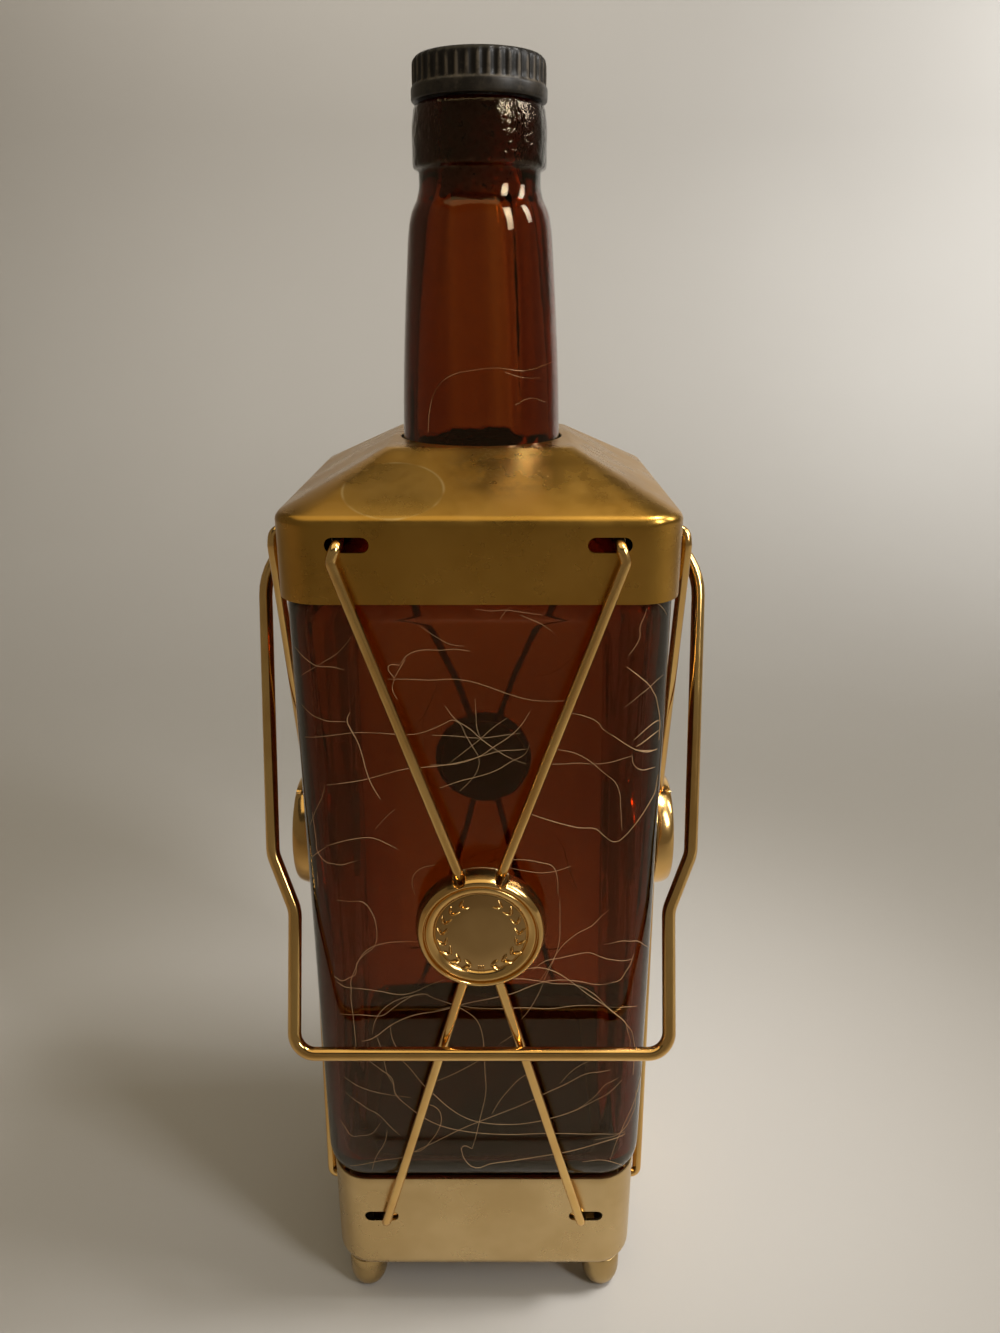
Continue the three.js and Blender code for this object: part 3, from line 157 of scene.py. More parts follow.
def apply_modifiers(obj):
    """Makes the object's modifiers part of its mesh."""
    bpy.context.view_layer.update()
    depsgraph = bpy.context.evaluated_depsgraph_get()
    mesh = bpy.data.meshes.new_from_object(obj.evaluated_get(depsgraph))
    old = obj.data
    obj.modifiers.clear()
    obj.data = mesh
    mesh.name = obj.name
    bpy.data.meshes.remove(old)


def cut_by(obj, cutters):
    """Takes the cutters' space out of the object, and the cutters out of the file."""
    for cutter in cutters:
        modifier = obj.modifiers.new("cut", "BOOLEAN")
        modifier.operation = "DIFFERENCE"
        modifier.solver = "EXACT"
        modifier.object = cutter
    apply_modifiers(obj)
    for cutter in cutters:
        removed(cutter)


def bevelled(obj, width, sharp, angle):
    modifier = obj.modifiers.new("edge", "BEVEL")
    modifier.width = width * MM
    modifier.segments = 2
    modifier.limit_method = "ANGLE"
    modifier.angle_limit = math.radians(angle)
    modifier.use_clamp_overlap = True
    apply_modifiers(obj)
    shade(obj, sharp)
    return obj


def arc(start, sweep, steps, first=0, middle=(0, 0), radii=(1, 1)):
    """Places at even steps of an arc in degrees, around the middle."""
    angles = [math.radians(start + sweep * step / steps) for step in range(first, steps + 1)]
    return [(middle[0] + radii[0] * math.cos(angle), middle[1] + radii[1] * math.sin(angle)) for angle in angles]


# ---- rings of the square pieces

CORNER_STEPS = 9


def side_stations(span, edge):
    """Places along one flat side, close together around the panel's edge."""
    inner = edge - 2.4
    middle = [inner * (2 * i / 14 - 1) for i in range(15)]
    right = [edge - 1.2, edge - 0.4, edge + 0.4, edge + 1.2, edge + 2.4]
    places = [-p for p in reversed(right)] + middle + right
    return [max(-span, min(span, p)) for p in [-span] + places + [span]]


def square_ring(half, corner, height, edge):
    """Points of a rounded square, with flat-side places around the edge given."""
    span = half - corner
    side_points = [Vector((p, -half)) for p in side_stations(span, min(edge, span - 3))]
    for step in range(1, CORNER_STEPS):
        angle = -math.pi / 2 + math.pi / 2 * step / CORNER_STEPS
        side_points.append(Vector((span + corner * math.cos(angle), -span + corner * math.sin(angle))))
    ring = []
    for side in range(4):
        turn = Matrix.Rotation(side * math.pi / 2, 2)
        ring += [(*(turn @ point), height) for point in side_points]
    return ring


def round_ring(radius, height, like):
    """A circle with its points in the directions of another ring's points."""
    ring = []
    for x, y, _ in like:
        length = math.hypot(x, y)
        ring.append((radius * x / length, radius * y / length, height))
    return ring


def mixed_ring(a, b, share, height):
    return [
        (ax + (bx - ax) * share, ay + (by - ay) * share, height)
        for (ax, ay, _), (bx, by, _) in zip(a, b)
    ]


def smooth(value):
    value = max(0.0, min(1.0, value))
    return value * value * (3 - 2 * value)


def eased(points, steps):
    """Monotone curve of (place, value) through the points, sampled in steps per stretch."""
    slopes = [(b[1] - a[1]) / (b[0] - a[0]) for a, b in zip(points, points[1:])]
    tangents = [slopes[0]]
    for before, after in zip(slopes, slopes[1:]):
        tangents.append(0.0 if before * after <= 0 else 2 * before * after / (before + after))
    tangents.append(slopes[-1])
    out = [points[0]]
    for index, ((x0, y0), (x1, y1)) in enumerate(zip(points, points[1:])):
        width = x1 - x0
        for step in range(1, steps + 1):
            t = step / steps
            y = (
                (2 * t ** 3 - 3 * t ** 2 + 1) * y0 + (t ** 3 - 2 * t ** 2 + t) * width * tangents[index]
                + (-2 * t ** 3 + 3 * t ** 2) * y1 + (t ** 3 - t ** 2) * width * tangents[index + 1]
            )
            out.append((x0 + width * t, y))
    return out


# ---- bottle

BODY_HALF = 46.0
BODY_CORNER = 10.5
BODY_BOTTOM = 45.0
HEEL = 12.0
SHOULDER_START = 225.0
SHOULDER_ARC = 15.0
NECK_FOOT = 257.9
NECK_RISE = 62.3
WALL = 4.0
INNER_CORNER = 6.5
INNER_HEEL = 7.0
FLOOR_THICKNESS = 5.0
PANEL_DEPTH = 0.5
PANEL_LOW = 66.0
PANEL_HIGH = 222.6
PANEL_CORNER = 6.0
PANEL_SLOPE = 1.6


def panel_half(height):
    return 33.9 - (height - 66) * 0.0265


def panel_mask(across, height):
    """How much of the panel's recess there is at a place on a flat face."""
    dx = abs(across) - (panel_half(height) - PANEL_CORNER)
    dz = max(PANEL_LOW + PANEL_CORNER - height, height - (PANEL_HIGH - PANEL_CORNER))
    outside = math.hypot(max(dx, 0), max(dz, 0)) + min(max(dx, dz), 0) - PANEL_CORNER
    return smooth(0.5 - outside / PANEL_SLOPE)


def recessed(ring, half, height):
    """The ring with its flat sides set back by the panels' recess."""
    out = []
    for x, y, z in ring:
        if abs(y) > half - 0.01 and abs(x) < half - BODY_CORNER:
            y -= math.copysign(PANEL_DEPTH * panel_mask(x, height), y)
        elif abs(x) > half - 0.01 and abs(y) < half - BODY_CORNER:
            x -= math.copysign(PANEL_DEPTH * panel_mask(y, height), x)
        out.append((x, y, z))
    return out


# the neck's taper, as shares of its rise and of its growth in radius
NECK_SHARES = [
    (0.02, 1), (0.22, 0.93), (0.54, 0.73), (0.65, 0.64), (0.77, 0.54), (0.83, 0.45), (0.87, 0.33),
    (0.91, 0.12), (0.96, 0), (1, 0),
]
NECK_LINE = eased([(NECK_FOOT + NECK_RISE * rise, 14.65 + 5.6 * taper) for rise, taper in NECK_SHARES], 4)
PANEL_RINGS = [
    60, 63.5, 65.0, 65.6, 66.0, 66.5, 67.2, 68.5, 70, 72, 75, 78, 84, 95, 110, 125, 140, 155, 170, 185, 198, 208,
    213, 216.5, 218.6, 220.2, 221.4, 222.1, 222.6, 223.1, 223.8,
]
# radius and height, up the collar, over the lip and down to where the cork ends
COLLAR_LINE = [
    (14.72, 320.6), (15.2, 320.95), (15.7, 321.15), (15.98, 321.6), (16.05, 322.3), (16.05, 325.8), (16.05, 329.6),
    (15.98, 330.6), (15.85, 331.5), (15.6, 333.4), (15.3, 334.35), (14.6, 334.8), (13.2, 334.9), (11.4, 334.9),
    (10.5, 334.75), (10.05, 334.3), (9.92, 333.4), (9.92, 329), (9.92, 325), (10.05, 322.5), (10.4, 320),
    (10.9, 317.5),
]


def uneven(ring, wave):
    """The ring moved in and out by a wave, which is a share of each point's distance."""
    out = []
    for x, y, z in ring:
        scale = 1 + wave(x, y, z)
        out.append((x * scale, y * scale, z))
    return out


def neck_streaks(x, y, z, depth=1.3):
    radius = math.hypot(x, y)
    return depth * noise.noise(Vector((x / radius * 2.3, y / radius * 2.3, z * 0.012 + 3))) / radius


def wall_waves(x, y, z):
    wide = noise.noise(Vector((x * 0.02, y * 0.02, z * 0.011))) * 0.55
    return (wide + noise.noise(Vector((x * 0.07, y * 0.07, z * 0.03 + 7))) * 0.22) / 42


def make_bottle():
    """One skin, from the middle of the underside up the outside and down the inside."""
    edge = panel_half(140)
    like = square_ring(BODY_HALF, BODY_CORNER, 0, edge)

    def between(half, corner, flat, radius, share, height):
        return mixed_ring(square_ring(half, corner, 0, flat), round_ring(radius, 0, like), share, height)

    rings = [square_ring(10, 5, BODY_BOTTOM + 1.6, 3), square_ring(24, 9, BODY_BOTTOM + 0.9, 20)]
    for half, height in arc(-90, 90, 8, 0, (BODY_HALF - HEEL, BODY_BOTTOM + HEEL), (HEEL, HEEL)):
        rings.append(square_ring(half, BODY_CORNER, height, edge))
    for height in PANEL_RINGS:
        ring = square_ring(BODY_HALF, BODY_CORNER, height, panel_half(height))
        rings.append(recessed(ring, BODY_HALF, height))
    rings.append(square_ring(BODY_HALF, BODY_CORNER, SHOULDER_START, edge))
    for half, height in arc(0, 45, 6, 1, (BODY_HALF - SHOULDER_ARC, SHOULDER_START), (SHOULDER_ARC, SHOULDER_ARC)):
        rings.append(square_ring(half, BODY_CORNER, height, 28))
    rings.append(between(30, BODY_CORNER, 16, 31, 0.35, 246.5))
    rings.append(between(24, BODY_CORNER, 10, 24.5, 0.8, 253.2))
    neck = [(22.3, 255.6), (20.9, 257.2)] + [(radius, height) for height, radius in NECK_LINE]
    rings += [round_ring(radius, height, like) for radius, height in neck + COLLAR_LINE]
    inner_neck = [(height, radius - 3.6) for height, radius in NECK_LINE[1:] if height < 315.5]
    for height, radius in reversed(inner_neck):
        rings.append(uneven(round_ring(radius, height, like), neck_streaks))
    rings.append(uneven(round_ring(17.2, 256.0, like), lambda x, y, z: neck_streaks(x, y, z, 1.0)))
    rings.append(between(20.5, 6, 10, 20.5, 0.7, 250.6))
    rings.append(between(27.5, INNER_CORNER, 16, 27.5, 0.25, 241.4))
    for half, height, flat in ((35.0, 234.0, 25), (38.6, 230.4, 28), (41.2, 226, 30)):
        rings.append(square_ring(half, INNER_CORNER, height, flat))
    for step in range(13):
        height = 221 - (221 - 60) * step / 12
        rings.append(uneven(square_ring(BODY_HALF - WALL, INNER_CORNER, height, 30), wall_waves))
    floor = BODY_BOTTOM + FLOOR_THICKNESS
    middle = (BODY_HALF - WALL - INNER_HEEL, floor + INNER_HEEL)
    for half, height in arc(0, 90, 7, 1, middle, (INNER_HEEL, -INNER_HEEL)):
        rings.append(square_ring(half, INNER_CORNER, height + 0.9, 26))
    rings.append(square_ring(22, 6, floor + 1.4, 14))
    rings.append(square_ring(8, 4, floor + 2.0, 2.5))
    return lofted("bottle_glass", rings)


# ---- sheet pieces

COVER_HALF = 47.3
COVER_CORNER = 10.5
BAND_BOTTOM = 226.9
EAVE_HEIGHT = 244.6
EAVE_ARC = 3.0
ROOF_TOP = 258.9
ROOF_FLAT = 22.6
SHEET = 0.8
HINGE_HEIGHT = 235
COVER_SLOTS = (29.6, 240.8)
BASE_SLOTS = (30.5, 35)
SLOT_LENGTH = 10.1
SLOT_RADIUS = 1.8


def slot_cutters(half, across, height):
    """Cutters of the wires' round-ended slots, two through each face."""
    straight = SLOT_LENGTH / 2 - SLOT_RADIUS
    cutters = []
    for side in range(4):
        for x in (-across, across):
            ring = []
            for centre, start in ((x + straight, -90), (x - straight, 90)):
                ring += arc(start, 180, 8, 0, (centre, height), (SLOT_RADIUS, SLOT_RADIUS))
            rings = [[(px, -depth, pz) for px, pz in ring] for depth in (half + 3, half - 3)]
            cutters.append(moved(lofted("slot", rings), quarter_turn(side)))
    return cutters


def hole_cutter(radius, reach, count):
    return turned("hole", [(0, -reach), (radius, -reach), (radius, reach), (0, reach)], count)


def make_cover():
    """Sheet like a hipped roof with a band below it, as a closed loop of rings, outside and inside."""
    # the eave's arc turns until the roof's slope leads to the flat around the hole
    run = COVER_HALF - EAVE_ARC - ROOF_FLAT
    rise = ROOF_TOP - EAVE_HEIGHT
    turn = math.pi / 2 - (math.atan2(rise, run) - math.asin(EAVE_ARC / math.hypot(run, rise)))
    outer = [(COVER_HALF, BAND_BOTTOM + up, COVER_CORNER) for up in (0, 6, 12)]
    for step in range(9):
        angle = turn * step / 8
        outer.append((
            COVER_HALF - EAVE_ARC + EAVE_ARC * math.cos(angle), EAVE_HEIGHT + EAVE_ARC * math.sin(angle),
            COVER_CORNER - (COVER_CORNER - 8) * step / 8,
        ))
    start, end = outer[-1], (ROOF_FLAT, ROOF_TOP, 2.2)
    for share in (0.25, 0.5, 0.75, 0.93, 0.985):
        outer.append(tuple(a + (b - a) * share for a, b in zip(start, end)))
    outer.append((22.35, ROOF_TOP, 2.2))
    rings = [square_ring(half, corner, height, half - corner - 4) for half, height, corner in outer]
    like = square_ring(COVER_HALF, COVER_CORNER, 0, 30)
    for radius, drop in ((21.05, 0), (20.87, 0.2), (20.87, SHEET - 0.1)):
        rings.append(round_ring(radius, ROOF_TOP - drop, like))
    for half, height, corner in reversed(outer):
        if height > EAVE_HEIGHT + 3.2:
            inset, drop = 0.35, 0.72
        elif height > EAVE_HEIGHT:
            inset, drop = 0.65, 0.45
        else:
            inset, drop = SHEET, 0.0
        rings.append(square_ring(half - inset, max(corner - inset, 1.2), height - drop, half - corner - 4))
    cover = lofted("shoulder_cover_sheet", rings, loop=True)
    bore = moved(hole_cutter(2.1, 60, 28), Matrix.Rotation(math.pi / 2, 4, "Y"))
    cut_by(cover, slot_cutters(COVER_HALF, *COVER_SLOTS) + [shifted(bore, 0, 0, HINGE_HEIGHT)])
    return bevelled(cover, 0.18, 24, 40)


BASE_HALF = 45.0
BASE_CORNER = 11.0
BASE_LOW_CORNER = 8.75
BASE_EDGE = 4.5
BASE_BOTTOM = 13.0
BASE_TOP = 49.6
FOOT_PLACE = 36.5


def make_base():
    """Deep-drawn tray, from the middle of its underside up the outside and down the inside."""
    middle = (BASE_HALF - BASE_EDGE, BASE_BOTTOM + BASE_EDGE)
    outer = []
    for step, (half, height) in enumerate(arc(-90, 90, 9, 0, middle, (BASE_EDGE, BASE_EDGE))):
        outer.append((half, height, BASE_LOW_CORNER + (BASE_CORNER - BASE_LOW_CORNER) * (step / 9)))
    outer += [(BASE_HALF, height, BASE_CORNER) for height in (24, 32, 40, 47, BASE_TOP - 0.25)]
    outer.append((BASE_HALF - 0.1, BASE_TOP, BASE_CORNER))
    inner = [(BASE_HALF - SHEET + 0.1, BASE_TOP)]
    inner += [(BASE_HALF - SHEET, height) for height in (BASE_TOP - 0.25, 40, 30, 20)]
    inner += arc(0, -90, 6, 1, middle, (BASE_EDGE - SHEET, BASE_EDGE - SHEET))
    rings = [square_ring(9, 4, BASE_BOTTOM, 2), square_ring(26, 8, BASE_BOTTOM, 12)]
    rings += [square_ring(half, corner, height, 26) for half, height, corner in outer]
    rings += [square_ring(half, BASE_CORNER - SHEET, height, 26) for half, height in inner]
    rings += [square_ring(26, 8, BASE_BOTTOM + SHEET, 12), square_ring(9, 4, BASE_BOTTOM + SHEET, 2)]
    base = lofted("base_tray", rings)
    cutters = slot_cutters(BASE_HALF, *BASE_SLOTS)
    holes = [(x * FOOT_PLACE, y * FOOT_PLACE, 1.75) for _, x, y in CORNERS] + hidden_holes()
    for x, y, radius in holes:
        cutters.append(shifted(hole_cutter(radius, 3, 24), x, y, BASE_BOTTOM))
    cut_by(base, cutters)
    return bevelled(base, 0.16, 24, 40)


def hidden_holes():
    """Holes in the base's floor, around the pieces that pass it."""
    holes = []
    for node, play in (("winding_arbor", 0.4), ("plunger_bush", -0.5), ("movement_screw_1", -0.7),
                       ("movement_screw_2", -0.7), ("movement_screw_3", -0.7)):
        low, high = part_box(node)
        middle = (Vector(low) + Vector(high)) / 2 / MM
        holes.append((middle.x, middle.y, (high[0] - low[0]) / 2 / MM + play))
    return holes


# ---- wires

def bent_path(corners, radii, arc_steps):
    """The corners' line with an arc of the given radius at each inner corner."""
    corners = [Vector(c) for c in corners]
    path = [corners[0]]
    for index, radius in enumerate(radii, start=1):
        before, here, after = corners[index - 1], corners[index], corners[index + 1]
        into = (here - before).normalized()
        out = (after - here).normalized()
        bend = into.angle(out)
        if bend < 1e-4:
            continue
        start = here - into * (radius * math.tan(bend / 2))
        normal = into.cross(out).normalized()
        centre = start + normal.cross(into).normalized() * radius
        steps = max(3, round(arc_steps * bend / (math.pi / 2)))
        for step in range(steps + 1):
            turn = Matrix.Rotation(bend * step / steps, 3, normal)
            path.append(centre + turn @ (start - centre))
    path.append(corners[-1])
    return path


def subdivided(path, stretch):
    """The path with points between its own, about the stretch given apart."""
    fine = [path[0]]
    for a, b in zip(path, path[1:]):
        pieces = max(1, round((b - a).length / stretch))
        fine += [a.lerp(b, step / pieces) for step in range(1, pieces + 1)]
    return fine


def heading(step):
    return step.normalized() if step.length > 1e-6 else Vector()


def tube(name, path, radius, sides, ease):
    """A round wire along a path, its ends slightly rounded."""
    tangent = (path[1] - path[0]).normalized()
    side = tangent.orthogonal().normalized()
    stations = []
    for index, place in enumerate(path):
        ahead = path[min(index + 1, len(path) - 1)] - place
        behind = place - path[max(index - 1, 0)]
        direction = (heading(ahead) + heading(behind)).normalized()
        side = tangent.rotation_difference(direction) @ side
        tangent = direction
        stations.append((place, tangent.copy(), side.copy(), radius))
    start, into, across, _ = stations[0]
    stations[:1] = [(start, into, across, radius - ease), (start + into * ease, into, across, radius)]
    end, out, across, _ = stations[-1]
    stations[-1:] = [(end - out * ease, out, across, radius), (end, out, across, radius - ease)]
    rings = []
    for place, along, across, size in stations:
        up = along.cross(across)
        rings.append([place + (across * c + up * s) * size for c, s in circle(sides)])
    return lofted(name, rings, 50)


WIRE_RADIUS = 1.35
WIRE_TOP = [(31.81, -44.85, 243.095), (31.81, -44.85, 240.8), (31.81, -49.0, 240.8), (33.1, -49.35, 237.5)]
WIRE_LOW = [(-29.005, -47.65, 35), (-29.005, -42.85, 35), (-25.9, -42.85, 34.8)]
# the falling wire passes in front, the rising one dips under it behind the medallion
WIRE_KINDS = {
    "falling": (-1, [(0, -51.55, 142)], [27]),
    "rising": (1, [(5.5, -50.6, 158), (1.6, -48.55, 146.6), (-1.25, -48.55, 137.4), (-4.3, -50.6, 126)],
               [16, 10, 10, 16]),
}


def frame_wire(face, kind):
    side, middle, bends = WIRE_KINDS[kind]
    corners = [(side * x, y, z) for x, y, z in WIRE_TOP + middle + WIRE_LOW]
    path = bent_path(corners, [1.89, 1.89, 2.6] + bends + [1.89, 1.89], 7)
    wire = tube(f"wire_{face}_{kind}", subdivided(path, 9), WIRE_RADIUS, 20, 0.25)
    return moved(wire, quarter_turn(FACES.index(face)))


BAIL_RADIUS = 1.79
BAIL_TILT = math.radians(22.194)
# half of the handle, as distance from the middle and run from the hinge
BAIL_LINE = [(44.7, 0), (50.2, 0), (58.5, 14.3), (56, 88.7), (50, 103.8), (50, 141.9)]
BAIL_BENDS = [4, 18, 9, 9, 5.7]


def make_bail():
    corners = [(x, 0, -run) for x, run in BAIL_LINE] + [(-x, 0, -run) for x, run in reversed(BAIL_LINE)]
    path = bent_path(corners, BAIL_BENDS + BAIL_BENDS[::-1], 12)
    bail = tube("bail_wire", subdivided(path, 8), BAIL_RADIUS, 24, 0.4)
    moved(bail, Matrix.Rotation(-BAIL_TILT, 4, "X"))
    return shifted(bail, 0, 0, HINGE_HEIGHT)


# ---- small pieces

CAP_POINTS = 240
CAP_RIBS = 40
RIB_DEPTH = 0.45
# radius, height and how much of the ribs' depth there is
CAP_LINE = [
    (15.2, 335.2, 0), (15.75, 335.25, 0), (15.95, 335.5, 0), (16.0, 335.9, 0), (16.0, 337.6, 0), (15.93, 338.0, 0),
    (15.8, 338.25, 0), (15.68, 338.5, 0.3), (15.7, 338.9, 0.9), (15.72, 340.0, 1), (15.7, 341.6, 1),
    (15.66, 342.8, 0.95), (15.5, 343.5, 0.7), (15.15, 344.05, 0.3), (14.6, 344.45, 0), (13.9, 344.6, 0),
    (13.0, 344.45, 0), (12.4, 344.2, 0), (6, 344.15, 0),
]
CORK_LINE = [
    (0, 314.6), (8.5, 314.6), (8.95, 314.8), (9.1, 315.3), (9.2, 320), (9.3, 327), (9.4, 334), (9.35, 334.75),
    (8.8, 334.9), (0, 334.9),
]
# a foot's side, its rim and the hollow for its screw
FOOT_LINE = [
    (5.75, 9), (5.75, 12.35), (5.6, 12.6), (5.35, 12.7), (3.0, 12.7), (1.75, 12.7), (1.75, 5.2), (0, 5.2),
]


def make_cap():
    rings = []
    for radius, height, ribbed in CAP_LINE:
        ring = []
        for i in range(CAP_POINTS):
            angle = 2 * math.pi * i / CAP_POINTS
            wave = (0.5 - 0.5 * math.cos(CAP_RIBS * angle)) ** 0.7
            r = radius - ribbed * RIB_DEPTH * wave
            ring.append((r * math.cos(angle), r * math.sin(angle), height))
        rings.append(ring)
    return lofted("ribbed_cap", rings, 50)


def make_foot(name, x, y):
    profile = [(0, 0.0), (2.0, 0.04)] + [(2.2 + 3.55 * s, 6.5 * (1 - c)) for c, s in arc(0, 90, 12, 1)]
    return shifted(turned(name, profile + FOOT_LINE, 56, 45), x, y, 0)


LEAF_SIDES = 16


def leaf(points, faces, centre, angle, length, width, height, base):
    """A leaf's low dome, its root at the centre given, added to points and faces."""
    first = len(points)
    ux, uy = math.cos(angle), math.sin(angle)
    rings = []
    for scale, level in ((1.0, 0.0), (0.5, 0.72), (0.16, 0.97)):
        ring = []
        for c, s in circle(LEAF_SIDES):
            along = length * (0.5 + 0.5 * c * scale)
            across = width / 2 * s * scale * (1 - 0.25 * c)
            x, y = centre[0] + ux * along - uy * across, centre[1] + uy * along + ux * across
            ring.append((x, y, base + height * level))
        rings.append(ring)
        points += ring
    points.append((centre[0] + ux * length * 0.5, centre[1] + uy * length * 0.5, base + height))
    rows = rows_of(rings, first)
    faces += quads(rows)
    faces += [(rows[2][i], rows[2][i + 1 - LEAF_SIDES], len(points) - 1) for i in range(LEAF_SIDES)]
    faces.append(tuple(reversed(rows[0])))


def notch_cutter(side, root, lean, radius, flare, low, high):
    """A notch's cutter in the medallion's frame, round at its root and wider at its mouth."""
    ring = arc(180, 180, 12, radii=(radius, radius)) + [(radius + flare, 9), (-radius, 9)]
    turn = Matrix.Rotation(math.radians(lean), 2)
    placed = [turn @ Vector(p) for p in ring]
    placed = [(side * (point.x + root[0]), point.y + root[1]) for point in placed]
    return lofted("notch", [[(x, y, level) for x, y in placed] for level in (low, high)])


# radius and height, from the cup's rim over the groove and the bead to the field's middle
MEDAL_LINE = [
    (14.68, 1.78), (14.56, 1.55), (14.48, 1.15), (14.38, 0.88), (14.24, 0.88), (14.1, 1.12), (13.96, 1.42),
    (13.76, 1.6), (13.5, 1.66), (13.1, 1.6), (12.7, 1.42), (12.3, 1.14), (11.98, 0.84), (11.82, 0.6),
    (11.72, 0.42), (11.6, 0.4), (11.48, 0.52), (11.3, 0.6), (6, 0.6), (0, 0.6),
]
MEDAL_BACK = -3.3
FIELD_RADIUS = 11.4


def make_medallion():
    """Stamped cup around Z, its field's back at zero, its top towards +Y."""
    profile = [(0, 0), (12.4, 0), (13.8, 0.35), (14.4, 0.3), (15.2, 0.35)]
    profile += arc(60, -60, 4, 0, (14.4, MEDAL_BACK), (1.8, 3.9))
    profile += arc(0, 90, 14, 0, (14.85, MEDAL_BACK), (1.95, 5.15))
    body = turned("medallion_plate", profile + MEDAL_LINE, 144)
    cutters = []
    for side in (-1, 1):
        cutters.append(notch_cutter(side, (5.45, 15.75), -17, 1.75, 3.2, -8, 4))
        cutters.append(notch_cutter(side, (4.45, -13.6), 180 + 17, 1.6, 0, -8, -0.15))
    cut_by(body, cutters)
    bevelled(body, 0.14, 30, 42)
    # the field has the second material, its gold darkened as painted shade
    for face in body.data.polygons:
        x, y, z = face.center / MM
        if math.hypot(x, y) < FIELD_RADIUS and z > 0.5:
            face.material_index = 1
    return body


WREATH_MIDDLE = -0.55
WREATH_RADIUS = 9.75


def make_wreath():
    """Laurel wreath of two branches, from three short leaves at the bottom, open at the top."""
    points = []
    faces = []
    for side in (-1, 1):
        for step in range(8):
            turn = math.radians(13 + step * 19.0)
            root = (side * WREATH_RADIUS * math.sin(turn), WREATH_MIDDLE - WREATH_RADIUS * math.cos(turn))
            along = math.atan2(math.sin(turn), side * math.cos(turn))
            length = 3.35 * (1.0 - 0.02 * step)
            for spread in (-0.56, 0.5):
                leaf(points, faces, root, along + spread, length, 0.98, 0.86, 0.44)
    for x in (-0.62, 0.0, 0.62):
        leaf(points, faces, (x, WREATH_MIDDLE - WREATH_RADIUS - 0.75), math.pi / 2, 1.5, 0.5, 0.5, 0.52)
    return mesh_object("wreath_leaves", points, faces, 50)


def joined(name, first, second):
    """One mesh of two objects."""
    bm = bmesh.new()
    bm.from_mesh(first.data)
    bm.from_mesh(second.data)
    bm.to_mesh(first.data)
    bm.free()
    first.name = name
    first.data.name = name
    removed(second)
    return first


def face_place(face, depth, height):
    """From Z towards the viewer of the front face to the place on another face."""
    place = Matrix.Translation(Vector((0, -depth, height)) * MM) @ Matrix.Rotation(math.pi / 2, 4, "X")
    return quarter_turn(FACES.index(face)) @ place


# ---- materials

class Maker:
    """Short calls for a new material's nodes."""

    def __init__(self, name):
        self.material = bpy.data.materials.new(name)
        self.material.use_nodes = True
        self.tree = self.material.node_tree
        self.tree.nodes.clear()
        self.output = self.tree.nodes.new("ShaderNodeOutputMaterial")

    def put(self, socket, value):
        """A link where the value is another node's socket, else the socket's own value."""
        if isinstance(value, bpy.types.NodeSocket):
            self.tree.links.new(value, socket)
        elif socket.type == "RGBA":
            socket.default_value = (*value, 1.0)
        else:
            socket.default_value = value

    def node(self, kind, settings=(), **inputs):
        """A shader node, with settings of its own and values of its named sockets."""
        node = self.tree.nodes.new("ShaderNode" + kind)
        for key, value in dict(settings).items():
            setattr(node, key, value)
        for key, value in inputs.items():
            self.put(node.inputs[key.replace("_", " ")], value)
        return node

    def math(self, operation, *values, kind="Math", result="Value"):
        node = self.node(kind, {"operation": operation})
        for socket, value in zip(node.inputs, values):
            self.put(socket, value)
        return node.outputs[result]

    def plus(self, a, b):
        return self.math("ADD", a, b)

    def minus(self, a, b):
        return self.math("SUBTRACT", a, b)

    def times(self, a, b):
        return self.math("MULTIPLY", a, b)

    def vector(self, operation, *values, result="Vector"):
        return self.math(operation, *values, kind="VectorMath", result=result)

    def mix(self, share, a, b):
        node = self.node("Mix", {"data_type": "RGBA", "clamp_factor": True})
        values = {"Factor_Float": share, "A_Color": a, "B_Color": b}
        for socket in node.inputs:
            if socket.identifier in values:
                self.put(socket, values[socket.identifier])
        return next(socket for socket in node.outputs if socket.identifier == "Result_Color")

    def place(self):
        return self.node("TexCoord").outputs["Object"]

    def noise(self, scale, detail, rough, stretch=(1, 1, 1)):
        mapped = self.node("Mapping", Vector=self.place(), Scale=stretch).outputs["Vector"]
        return self.node("TexNoise", Vector=mapped, Scale=scale, Detail=detail, Roughness=rough).outputs["Fac"]

    def span(self, value, low, high, to_low=0.0, to_high=1.0):
        """The value's way from low to high, as a smooth way between two others."""
        settings = {"interpolation_type": "SMOOTHSTEP", "clamp": True}
        ends = dict(From_Min=low, From_Max=high, To_Min=to_low, To_Max=to_high)
        return self.node("MapRange", settings, Value=value, **ends).outputs["Result"]

    def height(self):
        return self.node("SeparateXYZ", Vector=self.place()).outputs["Z"]

    def normal(self):
        return self.node("NewGeometry").outputs["Normal"]

    def facing_up(self):
        return self.node("SeparateXYZ", Vector=self.normal()).outputs["Z"]

    def inward(self):
        """Below zero where a sheet around the Z axis faces its inside."""
        centred = self.vector("SUBTRACT", self.place(), (0.0, 0.0, 0.225))
        return self.vector("DOT_PRODUCT", self.normal(), centred, result="Value")

    def distance(self, centre, scale=(1.0, 1.0, 1.0)):
        scaled = self.vector("MULTIPLY", self.vector("SUBTRACT", self.place(), centre), scale)
        return self.vector("LENGTH", scaled, result="Value")

    def bump(self, height, strength, distance):
        return self.node("Bump", Height=height, Strength=strength, Distance=distance).outputs["Normal"]

    def surface(self, **values):
        shader = self.node("BsdfPrincipled", **values)
        self.tree.links.new(shader.outputs["BSDF"], self.output.inputs["Surface"])
        return self.material


